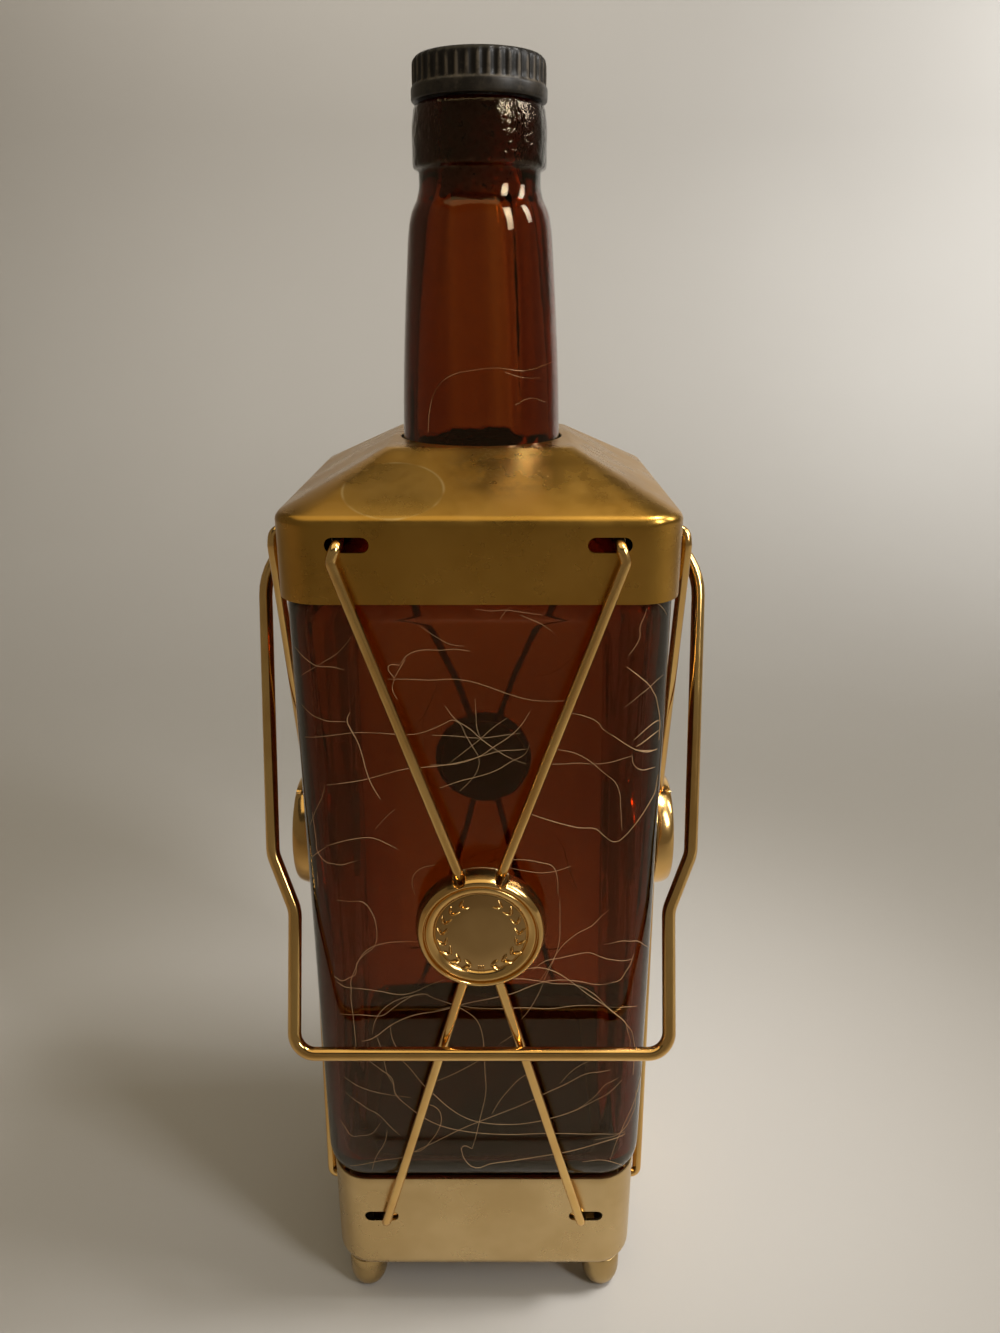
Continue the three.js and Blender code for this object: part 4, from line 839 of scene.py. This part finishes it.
def roof_wear_and_painted_shade(m, colour, dusty):
    """The cover's colour and dust, with a sticker's stain, a speckled patch and painted shade darkening the
    sheet's inside.
    """
    sticker = m.distance((-0.0197, -0.037, 0.2505), (0.89, 1.0, 1.0))
    ring = m.minus(1.0, m.math("ABSOLUTE", m.math("DIVIDE", m.minus(sticker, 0.0104), 0.0004)))
    ring = m.times(m.math("MAXIMUM", ring, 0.0), m.span(m.noise(120, 2, 0.5), 0.36, 0.58))
    inside = m.span(sticker, 0.0102, 0.0106, 1.0, 0.0)
    patch = m.span(m.distance((0.0055, -0.0285, 0.2545)), 0.007, 0.0155, 1.0, 0.0)
    patch = m.times(patch, m.span(m.noise(180, 3, 0.6), 0.32, 0.55))
    speckle = m.span(m.noise(1300, 2, 0.65), 0.5, 0.62)
    near_hole = m.span(m.distance((0.003, -0.0235, 0.2585)), 0.004, 0.013, 1.0, 0.25)
    colour = m.mix(m.times(patch, 0.55), colour, (0.21, 0.12, 0.035))
    colour = m.mix(m.times(m.times(patch, speckle), near_hole), colour, (0.40, 0.25, 0.07))
    colour = m.mix(m.times(inside, 0.22), colour, (0.26, 0.2, 0.07))
    colour = m.mix(m.times(ring, 0.6), colour, (0.7, 0.55, 0.26))
    # painted shade: the sheet's inside is darkened to a deep brown and kept free of dust, though it is the same
    # metal
    painted_shade_inside = m.span(m.inward(), -0.012, -0.004, 1.0, 0.0)
    return m.mix(painted_shade_inside, colour, (0.05, 0.028, 0.012)), m.times(dusty, m.minus(1.0, painted_shade_inside))


def gold(name, tone, shade_tone, rough, dust, grain, worn=False):
    """Gold-coloured plated metal with cloudy tone, fine grain and dust on what faces up."""
    m = Maker(name)
    colour = m.mix(m.span(m.noise(38, 3, 0.6), 0.35, 0.68), tone, shade_tone)
    up = m.span(m.facing_up(), 0.15, 0.75)
    specks = m.span(m.noise(560, 2, 0.5), 0.40, 0.72)
    haze = m.span(m.noise(95, 4, 0.65), 0.38, 0.72)
    dusty = m.times(m.times(up, m.plus(m.times(specks, 0.14), m.times(haze, 0.8))), dust)
    # the roof's stain, patch and speckles, and painted shade on the sheet's inside
    if worn:
        colour, dusty = roof_wear_and_painted_shade(m, colour, dusty)
    colour = m.mix(m.times(dusty, 0.4), colour, (0.50, 0.38, 0.17))
    cloudy = m.span(m.noise(60, 3, 0.6), 0.3, 0.7, rough - 0.05, rough + 0.05)
    roughness = m.plus(m.plus(cloudy, m.times(m.noise(700, 1, 0.5), 0.05)), m.times(dusty, 0.3))
    height = m.plus(m.times(m.noise(900, 1, 0.5), 0.15), m.noise(300, 2, 0.5))
    return m.surface(
        Base_Color=colour, Metallic=m.minus(1.0, m.times(dusty, 0.2)), Roughness=roughness,
        Normal=m.bump(height, grain, 0.00004),
    )


def amber_glass():
    """Glass coloured through its depth, uneven on the shoulder and pitted on the collar."""
    m = Maker("amber_glass_look")
    peel = m.plus(m.noise(210, 2, 0.5), m.times(m.noise(60, 1, 0.5, (1, 1, 0.4)), 1.6))
    shoulder = m.span(m.height(), 0.225, 0.262)
    collar = m.span(m.height(), 0.3185, 0.3225)
    strength = m.plus(m.plus(m.times(shoulder, 0.35), 0.10), m.times(collar, 0.8))
    pits = m.times(m.noise(560, 2, 0.6), m.plus(m.times(collar, 2.2), 0.02))
    height = m.plus(m.times(peel, strength), pits)
    volume = m.node("VolumeAbsorption", Color=(0.735, 0.44, 0.02), Density=930.0)
    m.tree.links.new(volume.outputs["Volume"], m.output.inputs["Volume"])
    return m.surface(
        Base_Color=m.mix(m.noise(20, 2, 0.5), (1.0, 0.985, 0.96), (0.985, 0.97, 0.94)),
        Roughness=m.span(m.noise(45, 4, 0.65, (1, 1, 0.5)), 0.45, 0.75, 0.015, 0.075),
        IOR=1.5, Transmission_Weight=1.0, Specular_Tint=(1.0, 0.8, 0.5), Normal=m.bump(height, 0.5, 0.0003),
    )


def plain(name, colour, other, rough, metallic, scale, grain=0.0, spread=0.06):
    """A surface whose colour and roughness wander between two values."""
    m = Maker(name)
    values = dict(
        Base_Color=m.mix(m.span(m.noise(scale, 4, 0.6), 0.35, 0.68), colour, other), Metallic=metallic,
        Roughness=m.span(m.noise(scale * 2.3, 3, 0.6), 0.3, 0.7, rough - spread, rough + spread),
    )
    if grain:
        values["Normal"] = m.bump(m.noise(scale * 30, 3, 0.65), grain, 0.00005)
    return m.surface(**values)


def aged_plastic():
    """Black cap plastic, its crests rubbed to a brownish grey."""
    m = Maker("aged_plastic")
    radial = m.distance((0.0, 0.0, 0.0), (1.0, 1.0, 0.0))
    crest = m.times(m.span(radial, 0.01542, 0.01568), m.span(m.height(), 0.3379, 0.3386, 0.22, 1.0))
    patchy = m.span(m.noise(240, 4, 0.7), 0.38, 0.62)
    dust = m.span(m.noise(900, 3, 0.7), 0.5, 0.66)
    streak = m.span(m.noise(190, 3, 0.6, (1, 1, 0.12)), 0.4, 0.7)
    worn = m.times(crest, m.plus(0.25, m.times(patchy, 0.75)))
    colour = m.mix(m.times(m.times(dust, streak), 0.5), (0.009, 0.007, 0.005), (0.09, 0.07, 0.045))
    return m.surface(
        Base_Color=m.mix(worn, colour, (0.13, 0.105, 0.075)), Roughness=m.span(worn, 0, 1, 0.36, 0.5),
        Specular_IOR_Level=0.3, Normal=m.bump(m.noise(1100, 3, 0.6), 0.3, 0.00005),
    )


def cork_look():
    m = Maker("cork_grain")
    cells = m.node("TexVoronoi", {"feature": "F1"}, Vector=m.place(), Scale=700.0).outputs["Distance"]
    base = m.mix(m.span(cells, 0.1, 0.7), (0.46, 0.30, 0.16), (0.6, 0.42, 0.25))
    pores = m.span(m.noise(420, 4, 0.7), 0.6, 0.66)
    return m.surface(
        Base_Color=m.mix(pores, base, (0.12, 0.06, 0.03)), Roughness=0.85,
        Normal=m.bump(m.minus(1.0, pores), 0.5, 0.0002),
    )


def fibre_look():
    m = Maker("tan_fibre")
    return m.surface(Base_Color=m.mix(m.noise(90, 2, 0.5), (0.40, 0.24, 0.11), (0.66, 0.45, 0.25)), Roughness=0.7)


# name, colour, its shade, roughness, dust, grain
SATIN = gold("satin_gold_cover", (0.51, 0.285, 0.056), (0.43, 0.23, 0.04), 0.26, 0.14, 0.35, worn=True)
CHAMPAGNE = gold("satin_gold_base", (0.66, 0.48, 0.235), (0.57, 0.40, 0.18), 0.28, 0.25, 0.5)
WIRE_GOLD = gold("bright_gold_wire", (0.84, 0.55, 0.20), (0.72, 0.43, 0.14), 0.12, 0.1, 0.2)
MEDAL_GOLD = gold("bright_gold_medal", (0.76, 0.485, 0.175), (0.66, 0.39, 0.125), 0.14, 0.12, 0.3)
# painted shade: the field is the medal's gold made darker, standing in for the dark floor it reflects
MEDAL_FIELD_PAINTED_DARK = gold("gold_field_painted_shade", (0.45, 0.285, 0.115), (0.37, 0.225, 0.085), 0.17, 0.1, 0.3)
FOOT_GOLD = gold("satin_gold_foot", (0.55, 0.39, 0.18), (0.45, 0.31, 0.13), 0.27, 0.1, 0.3)
GLASS = amber_glass()
CAP = aged_plastic()
CORK = cork_look()
# name, colour, the other colour, roughness, metallic, scale, grain
STEEL = plain("turned_steel", (0.50, 0.51, 0.53), (0.40, 0.41, 0.44), 0.28, 1.0, 90, 0.2)
SPRING_STEEL = plain("blued_spring", (0.23, 0.25, 0.30), (0.33, 0.34, 0.37), 0.3, 1.0, 140, 0.2)
BRASS = plain("movement_brass", (0.73, 0.54, 0.25), (0.62, 0.43, 0.17), 0.26, 1.0, 80, 0.2)
BRASS_DARK = plain("toned_brass", (0.58, 0.42, 0.19), (0.44, 0.30, 0.13), 0.35, 1.0, 120, 0.3)
FELT = plain("grey_felt", (0.035, 0.03, 0.027), (0.06, 0.05, 0.045), 0.95, 0.0, 12, spread=0.03)
NYLON = plain("white_nylon", (0.78, 0.77, 0.72), (0.70, 0.68, 0.62), 0.45, 0.0, 60, 0.2)
PLATE_GOLD = plain("plate_gold", (0.55, 0.42, 0.22), (0.45, 0.33, 0.16), 0.42, 1.0, 70, 0.3)
FIBRE = fibre_look()


def finish(obj, material, body, slot, *nodes):
    """The object's material, the body it rides and the solids it replaces; the slot is not used."""
    obj.data.materials.append(material)
    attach(obj, body)
    if nodes:
        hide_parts(*nodes)


# ---- building

MEDAL_HEIGHT = 142
MEDAL_DEPTH = 53.2
DISC_DEPTH = 46.3
DISC_LINE = [(0, 0), (14.6, 0), (14.82, 0.08), (14.9, 0.25), (14.9, 0.38), (14.8, 0.54), (14.6, 0.6), (0, 0.6)]

finish(make_bottle(), GLASS, "decanter", "amber_glass", "bottle")
finish(make_cap(), CAP, "stopper", "black_plastic", "stopper_cap")
finish(turned("cork_shank", CORK_LINE, 72, 50), CORK, "stopper", "cork", "stopper_cork")
finish(make_cover(), SATIN, "decanter", "satin_gold", "shoulder_cover")
finish(make_base(), CHAMPAGNE, "decanter", "satin_gold", "base_housing")
finish(make_bail(), WIRE_GOLD, "bail", "bright_gold", "bail_handle")

for corner, side_x, side_y in CORNERS:
    foot = make_foot(f"bullet_foot_{corner}", side_x * FOOT_PLACE, side_y * FOOT_PLACE)
    finish(foot, FOOT_GOLD, "decanter", "satin_gold", f"foot_{corner}")

medal = joined("medallion_pattern", make_medallion(), make_wreath())
disc = turned("disc_pattern", DISC_LINE, 96, 45)
for face in FACES:
    for kind in WIRE_KINDS:
        finish(frame_wire(face, kind), WIRE_GOLD, "decanter", "bright_gold", f"frame_wire_{face}_{kind}")
    badge = moved(copy_of(medal, f"stamped_medallion_{face}"), face_place(face, MEDAL_DEPTH, MEDAL_HEIGHT))
    finish(badge, MEDAL_GOLD, "decanter", "bright_gold", f"medallion_{face}")
    badge.data.materials.append(MEDAL_FIELD_PAINTED_DARK)
    back_disc = moved(copy_of(disc, f"disc_behind_{face}"), face_place(face, DISC_DEPTH, MEDAL_HEIGHT))
    finish(back_disc, PLATE_GOLD, "decanter", "satin_gold", f"backing_disc_{face}")
removed(medal)
removed(disc)

# pieces that keep the CAD shape; every screw is steel
LOOKS = [
    (PLATE_GOLD, ["bottle_rest_plate"]), (FELT, ["bottle_rest_pad"]), (NYLON, ["stop_plunger"]),
    (SPRING_STEEL, ["mainspring", "plunger_spring"]),
    (BRASS, ["movement_bedplate", "pin_cylinder", "cylinder_wheel", "spring_barrel", "barrel_bridge",
             "plunger_bush"]),
    (BRASS_DARK, ["barrel_lid", "winding_key", "governor_bracket", "governor_fan", "lever_stand"]),
    (STEEL, ["comb", "cylinder_arbor", "winding_arbor", "governor_arbor", "governor_worm", "stop_lever",
             "lever_pin"] + [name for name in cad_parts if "screw" in name]),
]
for look, names in LOOKS:
    for name in names:
        for material_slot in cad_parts[name].material_slots:
            material_slot.material = look

# ---- fibre strands on the glass

CAMERA_PLACE = Vector((4.86, -266.3, 295.0))
CAMERA_PITCH = math.radians(20.8)
PICTURE_MIDDLE = (500, 666.5)
FOCAL_PIXELS = 1000
LIFT = 0.04
CLOSE = 0.002
STRAND_THICKNESS = 0.074


def view_ray(px, py):
    """From the camera through a place in the picture, of length 1 seen from above."""
    across = (px - PICTURE_MIDDLE[0]) / FOCAL_PIXELS
    down = (py - PICTURE_MIDDLE[1]) / FOCAL_PIXELS
    ray = Vector((
        across, math.cos(CAMERA_PITCH) - down * math.sin(CAMERA_PITCH),
        -math.sin(CAMERA_PITCH) - down * math.cos(CAMERA_PITCH),
    ))
    return ray / math.hypot(ray.x, ray.y)


def outside_body(x, y):
    """Distance from a rounded square, the bottle's section."""
    span = BODY_HALF - BODY_CORNER
    dx, dy = abs(x) - span, abs(y) - span
    return math.hypot(max(dx, 0), max(dy, 0)) + min(max(dx, dy), 0) - BODY_CORNER


def outside_neck(place):
    radius = next((radius for height, radius in NECK_LINE if height >= place.z), 15.0)
    return math.hypot(place.x, place.y) - radius


def met(px, py, travel, tries, outside):
    """Where the view ray through a place in the picture comes to a surface, and the gap left."""
    ray = view_ray(px, py)
    for _ in range(tries):
        place = CAMERA_PLACE + ray * travel
        gap = outside(place) - LIFT
        if gap < CLOSE:
            break
        travel += gap
    return place, gap


def on_glass(px, py):
    """The place on the bottle's body that the picture shows, on the panel's recess too."""
    place, gap = met(px, py, 180.0, 60, lambda place: outside_body(place.x, place.y))
    if abs(place.x) < BODY_HALF - BODY_CORNER and place.y < 0:
        place.y += PANEL_DEPTH * panel_mask(place.x, place.z)
    return place if place.y < 0 and gap < 0.3 else None


def on_neck(px, py):
    return met(px, py, 200.0, 80, outside_neck)[0]


def strand_curve(name, lines):
    """One curve object of thin tubes, thinner at their ends."""
    curve = bpy.data.curves.new(name, "CURVE")
    curve.dimensions = "3D"
    curve.bevel_depth = STRAND_THICKNESS * MM
    curve.bevel_resolution = 1
    curve.resolution_u = 3
    for line, weight in lines:
        spline = curve.splines.new("BEZIER")
        spline.bezier_points.add(len(line) - 1)
        for index, (point, place) in enumerate(zip(spline.bezier_points, line)):
            point.co = Vector(place) * MM
            point.handle_left_type = "AUTO"
            point.handle_right_type = "AUTO"
            point.radius = weight * (0.55 if index in (0, len(line) - 1) else 1.0)
    return linked(name, curve)


# runs of the fibres in the picture: a weight, x and y of the first point, the steps to the next ones
STRANDS = [
    (1.0, 337, 900, 25, 3, 10, 12, 4, 13, -2, 20, -9, 7, -8, 8, -2, 12, -13, 6, -8, -5),
    (1.0, 417, 943, -17, 0, -18, 2, -15, 6, -8, 9, -8, 20, 0, 20, 3, 25, 2, 22),
    (1.0, 340, 1014, 20, 1, 22, 2, 10, -7, 15, -10, 15, -5, 13, 5, 15, 5, 15, 7, 12, 10, 5, 13, 2, 15, 1, 25,
     1, 17, -6, 28, -5, 20, -3, 9),
    (1.0, 337, 982, 8, 5, 15, 2, 22, 4, 18, 3, 12, -2, 18, -8, 14, -5),
    (1.3, 362, 1042, 10, -2, 18, -13, 22, -10, 28, -5, 25, -7, 25, -5, 22, -5, 20, -8, 18, -5, 25, 0, 25, 4,
     20, -6, 10, -15, 4, -11),
    (1.3, 520, 972, 15, -3, 15, 2, 20, 11, 17, 13, 20, 12, 15, 12, 10, 13, 3, 18, -2, 25),
    (1.1, 500, 982, 17, -2, 20, 2, 18, 3, 20, 1, 20, 10, 15, 14, 15, 12, 5, 18, 0, 12),
    (1.0, 532, 972, 14, -10, 11, -2, 18, -4, 15, -2, 17, 5, 15, 2, 10, -2),
    (1.0, 540, 982, 10, -15, 10, -17, 17, -15, 15, -8, 10, -10, 7, -7),
    (0.9, 560, 900, 0, 25, -1, 20, -7, 20, -6, 12, -6, 15, -10, 18, -8, 10),
    (0.9, 435, 1012, 25, -5, 12, 2, 28, 1, 25, -1, 25, 1, 25, -3, 25, 0, 25, 0, 12, -1, 9, 4),
    (0.9, 604, 945, 18, -4, 15, 0, 11, 6),
    (1.0, 367, 1061, 15, 11, 10, 8, 3, 15, 12, 12, 18, 13, 15, 7, 20, 5, 25, 3, 27, 1, 28, -1, 30, 0, 30, -1,
     25, -2),
    (1.0, 400, 1060, 10, 10, 12, 15, 13, 12, 15, 13, 17, 10, 15, 4, 23, 2, 20, -1, 25, -5, 25, -8, 20, -10, 15,
     -10, 12, -12),
    (0.8, 430, 1085, 20, -8, 20, -10, 9, -5),
    (0.9, 350, 1166, 15, -2, 20, -4, 15, -2, 20, -9, 20, -9, 20, -9, 22, -9, 18, -7, 25, -10, 20, -10, 22, -10,
     20, -10, 23, -5),
    (1.3, 461, 1148, 4, 12, 11, 8, 14, -4, 22, -3, 25, -4, 30, -5, 23, -6, 20, -6, 15, -6),
    (1.2, 461, 1150, 3, -4, 8, 3),
    (0.9, 492, 1115, 8, -13, 10, -12, 10, -10, 10, -6),
    (0.8, 500, 1045, 12, -8, 8, -7),
    (0.9, 425, 1105, 11, 4, 5, 8, -2, 13, -9, 12, -10, 9, -13, 1),
    (0.7, 344, 1077, 16, 10, 22, 8, 28, 4),
    (0.7, 345, 1092, 17, 13, 15, 10, 15, 15, 8, 7),
    (0.9, 372, 1170, 4, -13, 9, -15, 2, -10),
    (0.9, 640, 1062, 1, 13, -4, 17, -5, 15, -7, 15, -8, 18, -7, 20),
    (0.8, 636, 1090, -1, 17, -8, 18, -10, 10, -22, 5),
    (0.8, 582, 1162, 18, -2, 12, 2, 10, 3),
    (0.8, 302, 1046, 13, 9, 17, 5, 15, 0),
    (0.9, 390, 1027, 2, 13, 5, 10, 5, 10),
    (0.9, 375, 1035, 5, 12, 4, 15, 3, 13, 7, 12),
    (0.9, 372, 1035, 3, -13, 12, -15, 20, -9, 23, -3),
    (0.8, 576, 1112, 14, -10, 15, -17, 13, -7),
    (0.7, 560, 1085, 15, -15, 20, -10),
    (0.8, 340, 1120, 12, 16, 18, -1, 10, -10),
    (0.8, 284, 630, 11, 17, 12, 13, 10, 6, 15, 1, 12, 3),
    (0.7, 317, 666, 18, -11, 10, -10, 6, -8),
    (0.7, 291, 682, 11, -7, 15, -9),
    (0.7, 292, 690, 10, 15, 10, 10, 15, 6, 20, 1),
    (1.5, 350, 712, -3, 8, 5, 12, 5, 10, 5, 15, 4, 15, 6, 15, 8, 13),
    (0.8, 305, 737, 22, -1, 25, -3, 28, 1, 13, 1, 22, 0, 17, -5, 13, -6, 7, -3, 8, 4, 5, 10, 7, 12, 7, 13, -2,
     12, -7, 10, -10, 10),
    (1.0, 327, 785, 25, -3, 15, -2, 18, -5, 20, -5, 22, -2, 18, -2, 20, -4, 20, -6, 15, -4, 17, -1, 10, -1),
    (1.1, 430, 766, 25, -1, 25, -8, 15, -10, 15, -10, 12, -12, 8, -13),
    (0.8, 432, 736, 23, 1, 25, 2, 25, -3, 15, -2),
    (0.9, 445, 707, 10, 13, 15, 10, 10, 9, 15, 11, 17, 10, 15, 5),
    (0.8, 475, 700, 1, 17, 1, 13, 5, 12),
    (1.0, 440, 789, 20, -7, 20, -5, 17, -6, 15, -9, 13, -7, 5, -10),
    (0.8, 447, 766, 18, -14, 15, -12, 15, -13, 12, -8),
    (1.0, 400, 665, 7, -9, 13, -5, 20, 0, 15, -1, 15, 2),
    (0.8, 387, 680, 23, 0, 20, 1, 20, -1, 20, 2, 22, 7, 20, 7, 20, 5, 23, 1, 20, -1),
    (1.3, 394, 679, -6, -12, 12, -1),
    (1.2, 394, 680, -2, 10, 5, 10),
    (1.1, 394, 679, 8, -14, 3, -5),
    (1.0, 571, 714, 14, 3, 14, 7, 3, 5, 13, 8, 12, 8, 10, 5, 18, 0),
    (1.3, 627, 667, 13, 10, 10, 9, 6, 11, 3, 15, 1, 13, -1, 15),
    (1.1, 629, 655, 6, -8, 5, -10, 0, -10, 5, -12, 2, -7),
    (1.2, 634, 740, 11, -10, 10, -8, 5, -2),
    (1.4, 636, 747, 14, -10, 9, -7),
    (1.6, 635, 750, 12, 2, 10, -3),
    (0.9, 555, 750, 20, 4, 15, 8, 12, 10, 13, 10, 5, 13, 1, 17, 1, 18),
    (1.2, 530, 815, 15, 5, 17, 5, 18, 4, 16, 1, 9, 7, 10, 5, 11, -7, 11, -13, 10, -15, 8, -15, 3, -17),
    (0.8, 542, 765, 20, 0, 18, -1, 15, 1, 17, -3, 20, -6),
    (1.1, 302, 865, 10, -8, 14, -10),
    (0.9, 312, 812, 3, 20, 2, 18, 9, 12, 16, 3, 15, -4),
    (0.9, 304, 856, 13, 16, 1, 15),
    (0.9, 326, 846, 14, -4, 15, -3, 17, 0, 15, 6, 10, 5),
    (1.0, 510, 861, 15, 0, 17, 3, 10, 3, 5, 10, 1, 18),
    (0.8, 510, 869, 15, 3, 17, 2, 15, -2, 15, -5),
    (0.8, 415, 897, -3, -17, 8, -10, 15, -4),
    (0.9, 475, 609, 17, 2, 13, -1, 15, 2, 22, 3),
    (0.9, 520, 615, 12, 5, 10, 5, 10, 7),
    (0.8, 500, 619, 5, -7, 5, -5),
    (0.7, 420, 627, 15, 10, 15, 8, 15, 2),
    (0.9, 655, 602, 7, 5, 5, 8),
    (0.6, 325, 785, -3, 12, -7, 15, -5, 13),
    (0.6, 625, 707, 15, -12, 15, -13, 8, -7),
    (1.0, 632, 755, 2, 10, 8, 5, 13, -3),
    (0.6, 375, 830, 12, -13, 8, -7),
]
NECK_STRANDS = [
    (1.0, 428, 432, 2, -24, 7, -20, 15, -13, 23, -5, 25, -2, 22, 3, 29, -9),
    (0.8, 505, 372, 15, 5, 20, 1),
    (0.7, 515, 405, 15, -7, 15, 4),
]


def placed_strands(runs, place_of):
    """The runs' points that lie on the glass, each with its weight."""
    lines = []
    for weight, *steps in runs:
        pixels = zip(accumulate(steps[::2]), accumulate(steps[1::2]))
        line = [place for place in (place_of(px, py) for px, py in pixels) if place]
        if len(line) > 1:
            lines.append((dense_line(line), weight))
    return lines


def dense_line(line):
    """Points between the given ones, so that a strand follows the rounded corner."""
    out = [line[0]]
    for a, b in zip(line, line[1:]):
        if (b - a).length > 4 and max(abs(a.x), abs(b.x)) > 33:
            middle = (a + b) / 2
            middle -= Vector((math.copysign(1, middle.x), -1, 0)).normalized() * outside_body(middle.x, middle.y)
            out.append(middle)
        out.append(b)
    return out


def other_face(lines, face, mirror, flip):
    """The flat runs of the front, laid differently on another face."""
    turn = quarter_turn(FACES.index(face)).to_3x3()
    out = []
    for line, weight in lines:
        if max(abs(p.x) for p in line) > 34 or min(p.z for p in line) < 60:
            continue
        laid = []
        for p in line:
            x = p.x * mirror
            z = 290 - p.z if flip else p.z
            if 67 <= z <= 223:
                y = -BODY_HALF - LIFT + PANEL_DEPTH * panel_mask(x, z)
                laid.append(turn @ Vector((x, y, z)))
        if len(laid) > 1:
            out.append((laid, weight))
    return out


front_lines = placed_strands(STRANDS, on_glass)
all_lines = front_lines + placed_strands(NECK_STRANDS, on_neck)
for face, mirror, flip in (("right", -1, True), ("back", 1, True), ("left", -1, False)):
    all_lines += other_face(front_lines, face, mirror, flip)
finish(strand_curve("fibre_strands", all_lines), FIBRE, "decanter", "felt")

# ---- stage, lights, camera

STAGE_HALF_WIDTH = 3.0
STAGE_NEAR = 3.0
STAGE_FAR = 0.45
STAGE_TOP = 3.4
SWEEP = 0.9
SWEEP_BEHIND = 0.45
STAGE_CORNER = 0.3


def stage_material():
    """Pale grey that glows a little far away from the object."""
    m = Maker("pale_floor")
    radius = m.distance((0.0, 0.0, 0.0), (1.0, 1.0, 0.0))
    material = m.surface(
        Base_Color=m.mix(m.noise(3, 3, 0.5), (0.50, 0.48, 0.455), (0.56, 0.545, 0.52)), Roughness=0.85,
        Emission_Color=(1.0, 0.87, 0.68), Emission_Strength=m.span(radius, 1.1, 2.6, 0.0, 0.085),
    )
    material.cycles.emission_sampling = "NONE"
    return material


def make_stage():
    """A floor that sweeps up on all sides, close behind the object and far away elsewhere."""
    # how far out, and how far up, of each side's sweep; the last level is the top
    levels = [(-0.1, 0.0)] + [(s, 1 - c) for c, s in arc(0, 90, 14)] + [(1.0, None)]
    rings = []
    for out, up in levels:
        ring = []
        for corner, (sign_x, sign_y) in enumerate(((1, 1), (-1, 1), (-1, -1), (1, -1))):
            start, sweep = (STAGE_FAR, SWEEP_BEHIND) if sign_y > 0 else (STAGE_NEAR, SWEEP)
            edge_x = STAGE_HALF_WIDTH + SWEEP * out - STAGE_CORNER
            edge_y = start + sweep * out - STAGE_CORNER
            z = STAGE_TOP if up is None else sweep * up
            middle = (sign_x * edge_x, sign_y * edge_y)
            places = arc(90 * corner, 90, 6, 0, middle, (STAGE_CORNER, STAGE_CORNER))
            ring += [(x / MM, y / MM, z / MM) for x, y in places]
        rings.append(ring)
    # the floor has points of its own, so that its shading stays flat
    points = [p for ring in rings + rings[:1] for p in ring]
    floor = tuple(rows_of(rings[:1], len(points) - len(rings[0]))[0])
    return mesh_object("backdrop", points, quads(rows_of(rings)) + [floor])


backdrop = make_stage()
backdrop.data.materials.append(stage_material())

# name, place, target, width, length, power, colour, spread in degrees
LIGHTS = [
    ("window_front", (0.78, -0.63, 0.845), (0.01, 0.03, 0.24), 0.22, 0.5, 0.5, (1.0, 0.985, 0.96), 50),
    ("window_side", (1.05, 0.02, 0.845), (0, 0.08, 0.23), 0.22, 0.5, 0.4, (1.0, 0.99, 0.97), 52),
    ("soft_main", (0.32, -0.06, 0.80), (0.025, 0.03, 0.0), 0.16, 0.16, 0.18, (1.0, 0.97, 0.93), 35),
    ("soft_back", (0.90, 0.45, 0.80), (0.48, 0.90, 0.35), 0.5, 0.5, 2.6, (1.0, 1.0, 0.99), 90),
    ("back_top", (-0.1, 0.35, 1.5), (-0.15, 0.95, 0.85), 0.5, 0.5, 2.0, (1.0, 0.96, 0.9), 70),
    ("ceiling", (-0.2, -0.16, 1.35), (-0.2, -0.16, 0.0), 1.5, 1.1, 4.5, (1.0, 0.84, 0.54), 180),
    ("front_floor", (0.1, -0.95, 0.75), (0.1, -0.95, 0.0), 0.6, 0.6, 0.42, (1.0, 0.82, 0.78), 84),
    ("right_floor", (0.95, -0.12, 0.9), (0.95, -0.12, 0.0), 0.8, 0.8, 2.4, (1.0, 0.96, 0.9), 90),
    ("left_floor", (-0.95, -0.35, 0.8), (-0.95, -0.35, 0.0), 0.6, 0.6, 0.5, (1.0, 0.62, 0.45), 84),
]
for name, place, target, width, length, power, colour, spread in LIGHTS:
    light = bpy.data.lights.new(name, "AREA")
    light.energy = power
    light.color = colour
    light.spread = math.radians(spread)
    light.shape = "RECTANGLE"
    light.size = width
    light.size_y = length
    lamp = linked(name, light)
    lamp.location = place
    lamp.rotation_euler = (Vector(target) - Vector(place)).to_track_quat("-Z", "Y").to_euler()
    lamp.visible_camera = False

scene = bpy.context.scene
scene.world = bpy.data.worlds.new("studio")
scene.world.use_nodes = True
background = scene.world.node_tree.nodes["Background"]
background.inputs["Color"].default_value = (0.9, 0.8, 0.68, 1)
background.inputs["Strength"].default_value = 0.05
scene.view_settings.view_transform = "Standard"

camera_data = bpy.data.cameras.new("camera")
camera_data.lens = 27.0
camera_data.sensor_width = 36.0
camera_data.sensor_fit = "AUTO"
scene.camera = linked("camera", camera_data)
scene.camera.location = CAMERA_PLACE * MM
scene.camera.rotation_euler = (math.pi / 2 - CAMERA_PITCH, 0, 0)

bpy.context.view_layer.update()
